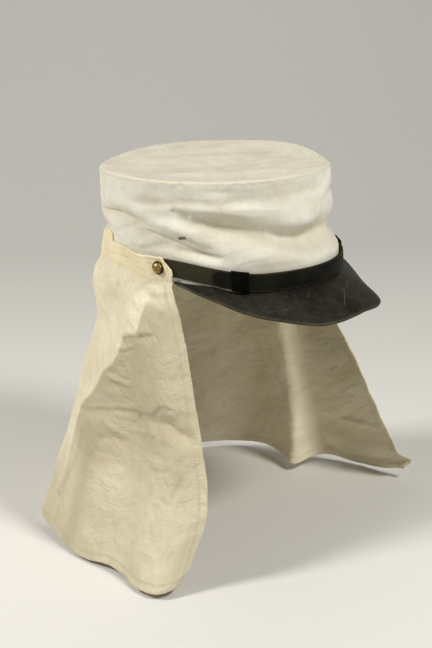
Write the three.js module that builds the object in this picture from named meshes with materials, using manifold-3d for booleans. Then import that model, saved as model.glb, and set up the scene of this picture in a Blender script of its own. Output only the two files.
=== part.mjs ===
import * as THREE from 'three';
import { mergeVertices } from 'three/addons/utils/BufferGeometryUtils.js';
import Module from 'manifold-3d';

// A kepi cap with a cloth neck flap. Millimetres, +Z up, the peak towards -Y, and the
// wearer's right towards -X. The origin is the centre of the crown's lower opening.
// Angles around the cap are degrees from the front, positive towards the wearer's right.

const wasm = await Module();
wasm.setup();

// Driving sizes
const headLength = 195;
const headWidth = 159;
const crownHeight = 84.4;
const crownWall = 1.8;
const crownFold = 3.6;
const rimLength = 190;
const rimWidth = 166.5;
const rimRound = 2.6;
const rimUneven = 2.4;
const widenFrom = 0.42; // shares of the height where the crown widens to its rim
const widenTo = 0.85;
const topLean = 1.5;
const topTiltDegrees = 0.2;
const topWall = 1.6;
const topSag = 5;
const topFold = 2.4;
const topBelowRim = 0.6;

const clearance = 0.3;

const strapWidth = 12.4;
const strapThickness = 1;
const strapFrontHeight = 9.2;
const strapRiseAngle = 35;
const strapTipAngle = 58.5;
const strapPastButton = 7; // degrees

const loopAngle = 46.5;
const loopLength = 12.5;
const loopWall = 0.7;
const loopRoom = 0.6;

const buttonAngle = 83.4;
const buttonHeight = 19.4;
const buttonWidth = 10.4;
const buttonDome = 3.2;
const buttonRim = 1.1;
const buttonStep = 0.4;
const shankWidth = 3;
const footWidth = 7;
const footThickness = 1;

const peakThickness = 1.9;
const peakReach = 35.9;
const peakDrop = 20;
const peakForward = 0.6; // how far it points straight ahead, rather than out of the oval

const bandWidth = 20;
const bandThickness = 1.6;
const bandEndAngle = 77.2;
const bandBelowButton = 2.6;
const bandBackRise = 5.2;
const bandRiseAngle = 108;
const tabAngle = 121.5;
const tabLength = 15;
const tabHeight = 7.5;
const eyeletWidth = 3;
const eyeletAboveBand = 2.8;

const flapWall = 1.4;
const flapDrop = 212;
const flapHalfWidth = 160;
const flapHalfLength = 140;
const flapFold = 6;

// Ridges and valleys in the crown's side. Each runs between two places, an angle and a
// share of crownHeight, with its bend and breadth as shares of crownHeight and its depth
// as a share of crownFold.
const crownFolds = [
  { from: 80, fromHeight: 0.735, to: -4, toHeight: 0.46, bend: 0.09, depth: -1, breadth: 0.085 },
  { from: 22, fromHeight: 0.52, to: -80, toHeight: 0.34, bend: -0.03, depth: -1.7, breadth: 0.13 },
  { from: 56, fromHeight: 0.78, to: -6, toHeight: 0.7, bend: 0.03, depth: 0.45, breadth: 0.06 },
  { from: 74, fromHeight: 0.88, to: -16, toHeight: 0.93, bend: -0.05, depth: -0.35, breadth: 0.07 },
  { from: 80, fromHeight: 0.73, to: 64, toHeight: 0.7, bend: 0, depth: -0.6, breadth: 0.04 },
  { from: 78, fromHeight: 0.61, to: 52, toHeight: 0.57, bend: 0, depth: 0.6, breadth: 0.06 },
  { from: 134, fromHeight: 0.68, to: 46, toHeight: 0.28, bend: 0.05, depth: -0.75, breadth: 0.055 },
  { from: 186, fromHeight: 0.44, to: 108, toHeight: 0.57, bend: 0.02, depth: -1, breadth: 0.08 },
  { from: 128, fromHeight: 0.46, to: 84, toHeight: 0.38, bend: 0.03, depth: 0.45, breadth: 0.09 },
  { from: 50, fromHeight: 0.3, to: -22, toHeight: 0.26, bend: -0.03, depth: 0.55, breadth: 0.09 },
  { from: -22, fromHeight: 0.95, to: -2, toHeight: 0.72, bend: 0, depth: 0.35, breadth: 0.05 },
  { from: -40, fromHeight: 0.72, to: -104, toHeight: 0.5, bend: 0.05, depth: -0.7, breadth: 0.08 },
  { from: -92, fromHeight: 0.78, to: -150, toHeight: 0.62, bend: 0.02, depth: -0.5, breadth: 0.07 },
  { from: -128, fromHeight: 0.48, to: -176, toHeight: 0.6, bend: 0, depth: -0.6, breadth: 0.07 },
];

// Where the rim leans out or in and rises or drops, as shares of rimUneven, round a place
// and over a breadth in degrees
const rimBumps = [
  { around: 160, breadth: 30, out: -0.2, up: -0.9 },
  { around: -88, breadth: 26, out: 0.2, up: 0.5 },
  { around: -50, breadth: 14, out: -0.15, up: -0.95 },
];

// Ridges and valleys in the top panel, between places that are shares of its half width
// and half length, with depth as a share of topFold.
const topFolds = [
  { fromX: -0.75, fromY: 0.45, toX: 0.55, toY: -0.5, bend: 0.1, depth: -0.8, breadth: 0.13 },
  { fromX: -0.6, fromY: 0.1, toX: 0.2, toY: -0.75, bend: 0.05, depth: 0.6, breadth: 0.09 },
  { fromX: -0.35, fromY: 0.75, toX: 0.75, toY: 0.1, bend: 0.08, depth: 0.7, breadth: 0.12 },
  { fromX: 0.15, fromY: 0.7, toX: 0.85, toY: -0.15, bend: 0.04, depth: -0.6, breadth: 0.1 },
];

// The peak, from its middle to its corner as shares of its half angle: its reach and
// its drop as shares of peakReach and peakDrop, and how far its sewn root lies below the
// strap as a share of strapWidth.
const peakSections = [
  { around: 0, reach: 1, drop: 0.79, below: 0 },
  { around: 0.26, reach: 0.95, drop: 0.94, below: 0 },
  { around: 0.52, reach: 0.555, drop: 0.7, below: 0 },
  { around: 0.66, reach: 0.46, drop: 0.43, below: 0.1 },
  { around: 0.76, reach: 0.4, drop: 0.16, below: 0 },
  { around: 0.93, reach: 0.28, drop: -0.26, below: 0.14 },
  { around: 1, reach: 0.1, drop: -0.38, below: 0.17 },
];

// The flap hangs from the band in straight runs of cloth. Each row gives a run's place
// on the band, its foot as shares of flapHalfWidth, flapHalfLength and flapDrop, and how
// far it bows between them as shares of flapDrop.
const flapRuns = [
  { around: 78, side: -0.84, back: -0.43, down: 0.98, bowSide: 0.04, bowBack: -0.115 },
  { around: 80.5, side: -0.925, back: -0.47, down: 0.985, bowSide: 0.025, bowBack: -0.06 },
  { around: 83.5, side: -0.995, back: -0.43, down: 0.99, bowSide: 0.02, bowBack: -0.025 },
  { around: 87, side: -0.995, back: -0.28, down: 0.995, bowSide: 0.01, bowBack: 0 },
  { around: 91, side: -0.94, back: -0.13, down: 0.995, bowSide: 0.01, bowBack: 0 },
  { around: 95.5, side: -0.9, back: 0.04, down: 0.995, bowSide: 0, bowBack: 0 },
  { around: 101, side: -0.885, back: 0.21, down: 1.02, bowSide: -0.01, bowBack: 0 },
  { around: 108, side: -0.83, back: 0.41, down: 1.035, bowSide: -0.01, bowBack: 0 },
  { around: 116, side: -0.75, back: 0.62, down: 1.015, bowSide: 0, bowBack: -0.01 },
  { around: 126, side: -0.68, back: 0.795, down: 0.995, bowSide: 0, bowBack: -0.01 },
  { around: 140, side: -0.51, back: 0.865, down: 1, bowSide: 0.02, bowBack: -0.02 },
  { around: 153, side: -0.31, back: 0.94, down: 1.01, bowSide: 0.01, bowBack: -0.02 },
  { around: 167, side: -0.13, back: 1, down: 1.02, bowSide: 0, bowBack: -0.02 },
  { around: 180, side: 0.03, back: 0.955, down: 1.02, bowSide: 0, bowBack: -0.02 },
  { around: 193, side: 0.2, back: 0.98, down: 1.02, bowSide: 0, bowBack: -0.02 },
  { around: 207, side: 0.38, back: 0.95, down: 1.015, bowSide: 0, bowBack: -0.02 },
  { around: 221, side: 0.55, back: 0.83, down: 1.01, bowSide: -0.02, bowBack: -0.02 },
  { around: 234, side: 0.69, back: 0.64, down: 1.005, bowSide: -0.02, bowBack: 0 },
  { around: 245, side: 0.75, back: 0.42, down: 1, bowSide: -0.01, bowBack: 0 },
  { around: 253, side: 0.68, back: 0.2, down: 1, bowSide: 0.01, bowBack: 0 },
  { around: 259, side: 0.6, back: 0.045, down: 1, bowSide: 0.045, bowBack: 0 },
  { around: 264, side: 0.73, back: 0.005, down: 0.985, bowSide: 0.01, bowBack: 0 },
  { around: 267, side: 0.815, back: -0.05, down: 0.985, bowSide: 0, bowBack: 0 },
  { around: 271, side: 0.86, back: -0.19, down: 1, bowSide: -0.02, bowBack: 0 },
  { around: 276, side: 0.865, back: -0.38, down: 0.995, bowSide: -0.03, bowBack: -0.01 },
  { around: 282, side: 0.84, back: -0.62, down: 0.985, bowSide: -0.035, bowBack: -0.025 },
];

// Folds pressed into the flap, between places that are shares of its run from edge to
// edge and of its drop, with bend and breadth as shares of flapDrop and depth as a share
// of flapFold.
const flapFolds = [
  { from: 0.2, fromDown: 0.02, to: 0.4, toDown: 0.99, bend: -0.09, depth: 0.5, breadth: 0.09 },
  { from: 0.52, fromDown: 0.07, to: 0.28, toDown: 0.1, bend: 0, depth: 1.1, breadth: 0.075 },
  { from: 0.54, fromDown: 0.2, to: 0.24, toDown: 0.22, bend: 0.03, depth: -0.9, breadth: 0.12 },
  { from: 0.56, fromDown: 0.5, to: 0.2, toDown: 0.54, bend: 0, depth: -0.65, breadth: 0.17 },
  { from: 0, fromDown: 0.7, to: 0.3, toDown: 0.6, bend: 0.03, depth: -0.35, breadth: 0.09 },
  { from: 0.03, fromDown: 0.57, to: 0.34, toDown: 0.5, bend: -0.06, depth: 0.3, breadth: 0.09 },
  { from: 0.62, fromDown: 0.12, to: 0.56, toDown: 0.98, bend: 0.06, depth: 0.8, breadth: 0.12 },
  { from: 0.7, fromDown: 0.1, to: 0.7, toDown: 0.98, bend: 0.06, depth: -0.6, breadth: 0.12 },
];

// Small helpers
const radians = (degrees) => degrees * Math.PI / 180;
const mix = (a, b, share) => a + (b - a) * share;
const clamp = (value) => Math.min(1, Math.max(0, value));
const ease = (from, to, value) => {
  const share = clamp((value - from) / (to - from));
  return share * share * (3 - 2 * share);
};
const steps = (count, from = 0, to = 1) =>
  Array.from({ length: count + 1 }, (_, i) => mix(from, to, i / count));

// A smooth value from a table, between the rows on each side of a place.
function readTable(rows, by, at, column) {
  const last = rows.length - 2;
  const i = Math.max(0, Math.min(last, rows.findIndex((row) => row[by] > at) - 1));
  const k = at >= rows[last + 1][by] ? last : i;
  const slope = (j) => (rows[j + 1][column] - rows[j][column]) / (rows[j + 1][by] - rows[j][by]);
  const tangent = (j) => {
    if (j === 0) return slope(0);
    if (j > last) return slope(last);
    const [left, right] = [slope(j - 1), slope(j)];
    return left * right <= 0 ? 0 : 2 * left * right / (left + right);
  };
  const span = rows[k + 1][by] - rows[k][by];
  const t = clamp((at - rows[k][by]) / span);
  const [t2, t3] = [t * t, t * t * t];
  return (2 * t3 - 3 * t2 + 1) * rows[k][column] + (t3 - 2 * t2 + t) * span * tangent(k)
    + (3 * t2 - 2 * t3) * rows[k + 1][column] + (t3 - t2) * span * tangent(k + 1);
}

// The height of one fold at a place on the cloth: a ridge or valley along a bowed line
// between two places, fading out at both ends.
function foldAt(place, from, to, bend, breadth) {
  const run = to.clone().sub(from);
  const length = run.length();
  run.divideScalar(length);
  const gone = place.clone().sub(from);
  const along = gone.dot(run) / length;
  if (along < 0 || along > 1) return 0;
  const side = gone.x * run.y - gone.y * run.x + bend * 4 * along * (1 - along);
  const fadeShare = 0.22;
  const fade = ease(0, fadeShare, along) * ease(0, fadeShare, 1 - along);
  return fade * Math.exp(-((side / breadth) ** 2));
}

// All the folds of a table at a place. The columns name where a fold starts and ends,
// and the scale turns those shares into millimetres.
function foldsAt(folds, columns, place, scale) {
  const [x, y, toX, toY] = columns;
  return folds.reduce((sum, fold) => {
    const from = new THREE.Vector2(fold[x], fold[y]).multiply(scale);
    const to = new THREE.Vector2(fold[toX], fold[toY]).multiply(scale);
    return sum + fold.depth * foldAt(place, from, to, fold.bend * scale.y, fold.breadth * scale.y);
  }, 0);
}

// A closed solid from an outer surface and a wall thickness. The surface takes two
// values; the first runs along its columns and the second along its rows.
function wallGeometry(surface, columns, rows, thickness, wraps = false) {
  const nudge = 1e-3;
  const spread = (list, value, open) => {
    const step = (list[list.length - 1] - list[0]) * nudge;
    const atStart = open && Math.abs(value - list[0]) < Math.abs(step);
    const atEnd = open && Math.abs(value - list[list.length - 1]) < Math.abs(step);
    return [atStart ? value : value - step, atEnd ? value : value + step];
  };
  const normalAt = (u, v) => {
    const [before, after] = spread(columns, u, !wraps);
    const [below, above] = spread(rows, v, true);
    const alongU = surface(after, v).sub(surface(before, v));
    const alongV = surface(u, above).sub(surface(u, below));
    return alongU.cross(alongV).normalize();
  };
  const used = wraps ? columns.slice(0, -1) : columns;
  const positions = [];
  for (const depth of [0, thickness]) {
    for (const u of used) {
      for (const v of rows) {
        const point = surface(u, v);
        point.addScaledVector(normalAt(u, v), -depth);
        positions.push(point.x, point.y, point.z);
      }
    }
  }
  const [across, down] = [used.length, rows.length];
  const layer = across * down;
  const outer = (i, j) => (i % across) * down + j;
  const inner = (i, j) => layer + outer(i, j);
  const faces = [];
  const quad = (a, b, c, d) => faces.push(a, b, c, a, c, d);
  const spans = wraps ? across : across - 1;
  for (let i = 0; i < spans; i += 1) {
    for (let j = 0; j < down - 1; j += 1) {
      quad(outer(i, j), outer(i + 1, j), outer(i + 1, j + 1), outer(i, j + 1));
      quad(inner(i, j), inner(i, j + 1), inner(i + 1, j + 1), inner(i + 1, j));
    }
    quad(outer(i, 0), inner(i, 0), inner(i + 1, 0), outer(i + 1, 0));
    quad(outer(i + 1, down - 1), inner(i + 1, down - 1), inner(i, down - 1), outer(i, down - 1));
  }
  for (let j = 0; j < down - 1 && !wraps; j += 1) {
    const end = across - 1;
    quad(outer(0, j + 1), inner(0, j + 1), inner(0, j), outer(0, j));
    quad(outer(end, j), inner(end, j), inner(end, j + 1), outer(end, j + 1));
  }
  return geometryOf(positions, faces);
}

// A closed panel from its centre outwards, flat underneath by its own thickness.
function panelGeometry(surface, around, rings, thickness) {
  const positions = [];
  for (const depth of [0, thickness]) {
    const centre = surface(0, 0);
    positions.push(centre.x, centre.y, centre.z - depth);
    for (const ring of rings) {
      for (const angle of around) {
        const point = surface(angle, ring);
        positions.push(point.x, point.y, point.z - depth);
      }
    }
  }
  const turn = around.length;
  const layer = 1 + turn * rings.length;
  const at = (level, ring, i) => level * layer + 1 + ring * turn + (i % turn);
  const faces = [];
  for (let i = 0; i < turn; i += 1) {
    faces.push(0, at(0, 0, i + 1), at(0, 0, i));
    faces.push(layer, at(1, 0, i), at(1, 0, i + 1));
    for (let ring = 0; ring < rings.length - 1; ring += 1) {
      const [a, b, c, d] = [at(0, ring, i), at(0, ring, i + 1), at(0, ring + 1, i + 1), at(0, ring + 1, i)];
      faces.push(a, b, c, a, c, d);
      faces.push(a + layer, c + layer, b + layer, a + layer, d + layer, c + layer);
    }
    const edge = rings.length - 1;
    faces.push(at(0, edge, i), at(0, edge, i + 1), at(1, edge, i + 1));
    faces.push(at(0, edge, i), at(1, edge, i + 1), at(1, edge, i));
  }
  return geometryOf(positions, faces);
}

function geometryOf(positions, faces) {
  const geometry = new THREE.BufferGeometry();
  geometry.setAttribute('position', new THREE.Float32BufferAttribute(positions, 3));
  geometry.setIndex(faces);
  return geometry;
}

// Joining and cutting of closed solids
function solidOf(geometry) {
  const bare = geometry.clone();
  bare.deleteAttribute('normal');
  bare.deleteAttribute('uv');
  const merged = mergeVertices(bare);
  return new wasm.Manifold(new wasm.Mesh({
    numProp: 3,
    vertProperties: Float32Array.from(merged.attributes.position.array),
    triVerts: Uint32Array.from(merged.index.array),
  }));
}

function cut(geometry, cutters) {
  let solid = solidOf(geometry);
  for (const cutter of cutters) solid = solid.subtract(solidOf(cutter));
  const mesh = solid.getMesh();
  return geometryOf(Array.from(mesh.vertProperties), Array.from(mesh.triVerts));
}

// The cap's oval, grown by an offset, and the direction that points out of it
function ovalPoint(around, halfLength, halfWidth, height = 0) {
  const angle = radians(around);
  return new THREE.Vector3(-halfWidth * Math.sin(angle), -halfLength * Math.cos(angle), height);
}

const baseHalfLength = headLength / 2 + crownWall;
const baseHalfWidth = headWidth / 2 + crownWall;

function outward(around) {
  const angle = radians(around);
  const normal = new THREE.Vector3(-Math.sin(angle) / baseHalfWidth, -Math.cos(angle) / baseHalfLength, 0);
  return normal.normalize();
}

function besideCrown(around, offset, height) {
  return ovalPoint(around, baseHalfLength, baseHalfWidth, height).addScaledVector(outward(around), offset);
}

const degreesPerMillimetre = (around) => {
  const ahead = besideCrown(around + 0.5, 0, 0).distanceTo(besideCrown(around - 0.5, 0, 0));
  return 1 / ahead;
};

// Heights of what lies on the crown
const fromFront = (around) => Math.abs(((around + 180) % 360 + 360) % 360 - 180);
const strapHeight = (around) =>
  mix(strapFrontHeight, buttonHeight, ease(strapRiseAngle, buttonAngle, Math.abs(around)));
const bandHeight = (around) =>
  buttonHeight - bandBelowButton + bandBackRise * ease(buttonAngle, bandRiseAngle, fromFront(around));

function bandTop(around) {
  const halfTab = tabLength / 2 * degreesPerMillimetre(tabAngle);
  const inTab = 1 - Math.abs(fromFront(around) - tabAngle) / halfTab;
  return bandHeight(around) + bandWidth / 2 + tabHeight * ease(0, 0.45, inTab);
}

function trimTop(around) {
  const turn = fromFront(around);
  const overStrap = turn < buttonAngle ? strapHeight(turn) + strapWidth / 2 : 0;
  const overBand = turn > bandEndAngle ? bandTop(turn) : 0;
  return Math.max(overStrap, overBand);
}

// Layers on the crown, from the cloth outwards
const strapInner = clearance + loopWall + clearance;
const strapOuter = strapInner + strapThickness + clearance;
const bandOverStrap = strapInner + strapThickness + clearance;
const buttonSeat = bandOverStrap + bandThickness + clearance;

// The crown's side: an oval drum of cloth, a little wider at its rounded rim, with its
// folds above what lies on it
const rimHeight = (y) => crownHeight + Math.tan(radians(topTiltDegrees)) * y;
const rimStart = 0.94;
const rimTurn = radians(80);
const foldStart = 2;
const foldWhole = 9;

function crownFoldAt(around, height) {
  const scale = new THREE.Vector2((headLength + headWidth) * Math.PI / 4 / 180, crownHeight);
  const columns = ['from', 'fromHeight', 'to', 'toHeight'];
  const turns = [around - 360, around, around + 360];
  const places = turns.map((turn) => new THREE.Vector2(turn * scale.x, height));
  return crownFold * places.reduce((sum, place) => sum + foldsAt(crownFolds, columns, place, scale), 0);
}

function rimShift(around, column) {
  return rimUneven * rimBumps.reduce((sum, bump) =>
    sum + bump[column] * Math.exp(-((fromFront(around - bump.around) / bump.breadth) ** 2)), 0);
}

function crownSurface(around, share) {
  const level = Math.min(share / rimStart, 1);
  const round = ease(rimStart, 1, share);
  const widened = ease(widenFrom, widenTo, level);
  const halfLength = mix(baseHalfLength, rimLength / 2, widened);
  const halfWidth = mix(baseHalfWidth, rimWidth / 2, widened);
  const point = ovalPoint(around, halfLength, halfWidth);
  point.y += topLean * widened;
  const rimTop = rimHeight(point.y) + rimShift(around, 'up');
  point.z = level * (rimTop - rimRound) + rimRound * Math.sin(round * rimTurn);
  const bare = ease(trimTop(around) + foldStart, trimTop(around) + foldWhole, point.z);
  const fold = crownFoldAt(around, point.z) * bare * (1 - round) + rimShift(around, 'out') * widened;
  return point.addScaledVector(outward(around), fold - rimRound * (1 - Math.cos(round * rimTurn)));
}

// What is turned about the line out of the cap, such as a button or a hole, goes here.
function turnedOut(geometry, around, height) {
  geometry.rotateX(Math.PI / 2);
  geometry.lookAt(outward(around));
  const centre = besideCrown(around, 0, height);
  return geometry.translate(centre.x, centre.y, centre.z);
}

function hole(width, around, height) {
  const cylinder = new THREE.CylinderGeometry(width / 2, width / 2, 4 * buttonSeat, 14);
  return turnedOut(cylinder, around, height);
}

const shankHole = (sign) => hole(shankWidth + 2 * clearance, sign * buttonAngle, buttonHeight);

function crownSide() {
  const rows = [...steps(10, 0, rimStart), (rimStart + 1) / 2, 1];
  const wall = wallGeometry(crownSurface, steps(66, 360, 0), rows, crownWall, true);
  return cut(wall, [shankHole(1), shankHole(-1)]);
}

// The top panel, a little below the rim and sagging inside it
function crownTop() {
  const inset = rimRound + 3 * clearance;
  const columns = ['fromX', 'fromY', 'toX', 'toY'];
  const surface = (around, ring) => {
    const point = ovalPoint(around, (rimLength / 2 - inset) * ring, (rimWidth / 2 - inset) * ring);
    const place = new THREE.Vector2(point.x / rimWidth * 2, point.y / rimLength * 2);
    const fold = topFold * (1 - ring ** 4) * foldsAt(topFolds, columns, place, new THREE.Vector2(1, 1));
    point.addScaledVector(outward(around), rimShift(around, 'out') * ring);
    point.y += topLean;
    const rimTop = rimHeight(point.y) + rimShift(around, 'up') * ring * ring;
    point.z = rimTop - topBelowRim - topSag * (1 - ring * ring) + fold;
    return point;
  };
  return panelGeometry(surface, steps(44, 0, 360).slice(0, -1), steps(4, 0.2, 1), topWall);
}

// The peak: leather that slopes forward from its sewn root, close in front of the band.
// Its root stands off the crown by what its slanted thickness needs.
function peak() {
  const halfAngle = bandEndAngle - 3 * clearance * degreesPerMillimetre(bandEndAngle);
  const rootOffset = clearance + peakThickness * 0.62;
  const surface = (around, share) => {
    const row = (column) => readTable(peakSections, 'around', Math.abs(around) / halfAngle, column);
    const underLoop = strapHeight(around) - strapWidth / 2 - loopRoom - loopWall - clearance;
    const root = besideCrown(around, rootOffset, underLoop - strapWidth * row('below'));
    const ahead = outward(around).multiplyScalar(1 - peakForward);
    ahead.y -= peakForward;
    const tip = root.clone().addScaledVector(ahead.normalize(), peakReach * row('reach'));
    tip.z = -peakDrop * row('drop');
    return root.lerp(tip, share);
  };
  return wallGeometry(surface, steps(32, -halfAngle, halfAngle), steps(4), peakThickness);
}

// A strap lies flat on the crown from one angle to another, with a rounded tip at each
// end, at an offset that may change on its way.
function strapGeometry(from, to, offsetAt) {
  const sign = Math.sign(to - from);
  const half = strapWidth / 2;
  const tipSpan = (around) => half * degreesPerMillimetre(around);
  const tipShares = [0.12, 0.3, 0.6, 1];
  const columns = [
    ...tipShares.map((share) => from + sign * tipSpan(from) * share),
    ...steps(28, from + sign * tipSpan(from), to - sign * tipSpan(to)).slice(1, -1),
    ...tipShares.map((share) => to - sign * tipSpan(to) * share).reverse(),
  ];
  const halfWidthAt = (around) => {
    const gone = Math.min(Math.abs(around - from) / tipSpan(from), Math.abs(around - to) / tipSpan(to));
    return half * Math.sqrt(1 - (1 - clamp(gone)) ** 2);
  };
  const surface = (around, share) =>
    besideCrown(around, offsetAt(around) + strapThickness, strapHeight(around) + halfWidthAt(around) * share);
  return wallGeometry(surface, columns, [-sign, 0, sign].map((row) => -row), strapThickness);
}

const strapEnd = buttonAngle + strapPastButton;

function rightStrap() {
  return cut(strapGeometry(strapEnd, -strapTipAngle, () => strapInner), [shankHole(1)]);
}

// The left strap lies over the right one, and comes down to the crown beyond its tip.
function leftStrap() {
  const stepDown = 12;
  const beyondTip = -strapTipAngle - 2;
  const offset = (around) => mix(strapInner, strapOuter, ease(beyondTip - stepDown, beyondTip, around));
  return cut(strapGeometry(-strapEnd, strapTipAngle, offset), [shankHole(-1)]);
}

// A keeper loop goes round both straps: a flat ring with rounded corners
function strapLoop(sign) {
  const middle = sign * loopAngle;
  const halfSpan = loopLength / 2 * degreesPerMillimetre(middle);
  const halfHeight = strapWidth / 2 + loopRoom + loopWall;
  const corner = loopWall * 1.2;
  const near = clearance + corner;
  const far = strapOuter + strapThickness + clearance + loopWall - corner;
  const corners = [[far, 1, 0], [near, 1, 90], [near, -1, 180], [far, -1, 270]];
  const section = corners.flatMap(([out, up, start]) => [0, 45, 90].map((turn) => {
    const angle = radians(start + turn);
    const height = up * (halfHeight - corner) + corner * Math.sin(angle);
    return new THREE.Vector2(out + corner * Math.cos(angle), height);
  }));
  const surface = (index, around) => {
    const whole = (index + section.length) % section.length;
    const first = Math.floor(whole);
    const place = section[first].clone().lerp(section[(first + 1) % section.length], whole - first);
    return besideCrown(around, place.x, strapHeight(around) + place.y);
  };
  const rows = steps(4, middle - halfSpan, middle + halfSpan);
  return wallGeometry(surface, steps(section.length, 0, section.length), rows, loopWall, true);
}

// A plain domed button, its shank and its foot inside the crown, turned as one piece
function button(sign) {
  const domeFoot = buttonSeat + buttonRim;
  const dome = steps(4, 0, Math.PI / 2).slice(0, -1).map((angle) =>
    [(buttonWidth / 2 - buttonStep) * Math.cos(angle), domeFoot + buttonDome * Math.sin(angle)]);
  const inside = -crownWall - clearance;
  const profile = [
    [0, inside - footThickness],
    [footWidth / 2, inside - footThickness],
    [footWidth / 2, inside],
    [shankWidth / 2, inside],
    [shankWidth / 2, buttonSeat],
    [buttonWidth / 2, buttonSeat],
    [buttonWidth / 2, domeFoot],
    ...dome,
    [0, domeFoot + buttonDome],
  ];
  const turned = new THREE.LatheGeometry(profile.map(([x, y]) => new THREE.Vector2(x, y)), 14);
  return turnedOut(turned, sign * buttonAngle, buttonHeight);
}

// The flap's band: over the strap's ends at the sides, then close against the crown,
// with a small tab and its eyelet on each side
const bandOffset = (around) =>
  mix(bandOverStrap, clearance, ease(strapEnd + 2, strapEnd + 14, fromFront(around)));

function flapBand() {
  const surface = (around, share) => {
    const height = mix(bandHeight(around) - bandWidth / 2, bandTop(around), share);
    return besideCrown(around, bandOffset(around) + bandThickness, height);
  };
  const halfTab = tabLength / 2 * degreesPerMillimetre(tabAngle);
  const rightTab = steps(8, tabAngle - halfTab, tabAngle + halfTab);
  const leftTab = rightTab.map((around) => 360 - around);
  const plain = steps(36, bandEndAngle, 360 - bandEndAngle)
    .filter((around) => Math.abs(fromFront(around) - tabAngle) > halfTab + 0.5);
  const columns = [...plain, ...rightTab, ...leftTab].sort((a, b) => b - a);
  const band = wallGeometry(surface, columns, [0, 0.5, 1], bandThickness);
  const eyeletHeight = bandHeight(tabAngle) + bandWidth / 2 + eyeletAboveBand;
  const eyelets = [tabAngle, -tabAngle].map((around) => hole(eyeletWidth, around, eyeletHeight));
  return cut(band, [shankHole(1), shankHole(-1), ...eyelets]);
}

// The flap: runs of cloth from the band's lower edge down to the hem, with its folds
const flapTop = (around) =>
  besideCrown(around, bandOffset(around) + bandThickness, bandHeight(around) - bandWidth / 2 - clearance);
const flapSeam = new THREE.CatmullRomCurve3(flapRuns.map((run) => flapTop(run.around)));
const flapHem = new THREE.CatmullRomCurve3(flapRuns.map((run) =>
  new THREE.Vector3(run.side * flapHalfWidth, run.back * flapHalfLength, -run.down * flapDrop)));
const flapBow = new THREE.CatmullRomCurve3(flapRuns.map((run) =>
  new THREE.Vector3(run.bowSide * flapDrop, run.bowBack * flapDrop, 0)));
const bowLowness = 2;

function flapLay(across, down) {
  const seam = flapSeam.getPoint(across);
  const hem = flapHem.getPoint(across);
  hem.z += seam.z;
  const bow = flapBow.getPoint(across).multiplyScalar(Math.sin(Math.PI * down ** bowLowness));
  return seam.lerp(hem, down).add(bow);
}

function flapSurface(across, down) {
  const nudge = 0.004;
  const left = flapLay(Math.max(0, across - nudge), down);
  const right = flapLay(Math.min(1, across + nudge), down);
  const out = new THREE.Vector3(left.y - right.y, right.x - left.x, 0).normalize();
  const scale = new THREE.Vector2(4 * flapHalfWidth, flapDrop);
  const place = new THREE.Vector2(across, down).multiply(scale);
  const columns = ['from', 'fromDown', 'to', 'toDown'];
  const fold = flapFold * foldsAt(flapFolds, columns, place, scale) * ease(0, 0.06, down);
  return flapLay(across, down).addScaledVector(out, fold);
}

function neckFlap() {
  return wallGeometry(flapSurface, steps(57), steps(15), flapWall);
}

// Materials
const cotton = (color) => new THREE.MeshStandardMaterial({ color, roughness: 0.92, metalness: 0 });
const leather = (color, roughness) => new THREE.MeshStandardMaterial({ color, roughness, metalness: 0 });
const brass = (color) => new THREE.MeshStandardMaterial({ color, roughness: 0.42, metalness: 1 });

const kepi = new THREE.Group();

function addPiece(name, geometry, material) {
  geometry.computeVertexNormals();
  const mesh = new THREE.Mesh(geometry, material);
  mesh.name = name;
  kepi.add(mesh);
}

addPiece('crown_side', crownSide(), cotton(0xe7e2cf));
addPiece('crown_top', crownTop(), cotton(0xdcd7c3));
addPiece('peak', peak(), leather(0x2b2a24, 0.5));
addPiece('chin_strap_right', rightStrap(), leather(0x2a291f, 0.45));
addPiece('chin_strap_left', leftStrap(), leather(0x1e1f18, 0.45));
addPiece('strap_loop_right', strapLoop(1), leather(0x0c0f0b, 0.6));
addPiece('strap_loop_left', strapLoop(-1), leather(0x0c0f0b, 0.6));
addPiece('button_right', button(1), brass(0x8c7a46));
addPiece('button_left', button(-1), brass(0x8c7a46));
addPiece('flap_band', flapBand(), cotton(0xe2d6b0));
addPiece('neck_flap', neckFlap(), cotton(0xd5caa8));

export default kepi;
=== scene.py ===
import math

import bpy
import numpy as np
from mathutils import Matrix, Vector


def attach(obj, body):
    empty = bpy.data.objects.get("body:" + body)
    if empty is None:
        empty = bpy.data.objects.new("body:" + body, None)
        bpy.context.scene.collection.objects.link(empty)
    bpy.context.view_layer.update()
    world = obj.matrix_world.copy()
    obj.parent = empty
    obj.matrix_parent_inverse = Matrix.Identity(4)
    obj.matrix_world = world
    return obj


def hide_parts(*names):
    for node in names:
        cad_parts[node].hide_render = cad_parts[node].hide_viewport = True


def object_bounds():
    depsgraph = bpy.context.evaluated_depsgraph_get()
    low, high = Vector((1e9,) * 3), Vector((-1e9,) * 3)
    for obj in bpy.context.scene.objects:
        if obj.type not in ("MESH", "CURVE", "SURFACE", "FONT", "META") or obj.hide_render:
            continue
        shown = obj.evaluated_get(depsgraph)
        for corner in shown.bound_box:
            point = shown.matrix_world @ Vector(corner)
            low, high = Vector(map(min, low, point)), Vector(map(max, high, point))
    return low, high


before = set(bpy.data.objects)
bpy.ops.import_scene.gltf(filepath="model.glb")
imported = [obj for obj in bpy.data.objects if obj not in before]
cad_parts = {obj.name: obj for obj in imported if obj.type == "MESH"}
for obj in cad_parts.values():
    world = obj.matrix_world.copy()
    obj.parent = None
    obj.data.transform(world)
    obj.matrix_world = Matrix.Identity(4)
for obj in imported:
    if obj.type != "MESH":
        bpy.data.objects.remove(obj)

cadLow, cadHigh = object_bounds()

# A kepi cap with a cloth neck flap. Lengths in the dictionaries are millimetres and the
# meshes are written in metres. The peak points to -Y and the wearer's right is -X.
# "around" is degrees from the front, positive towards the wearer's right.
mm = 0.001

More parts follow.
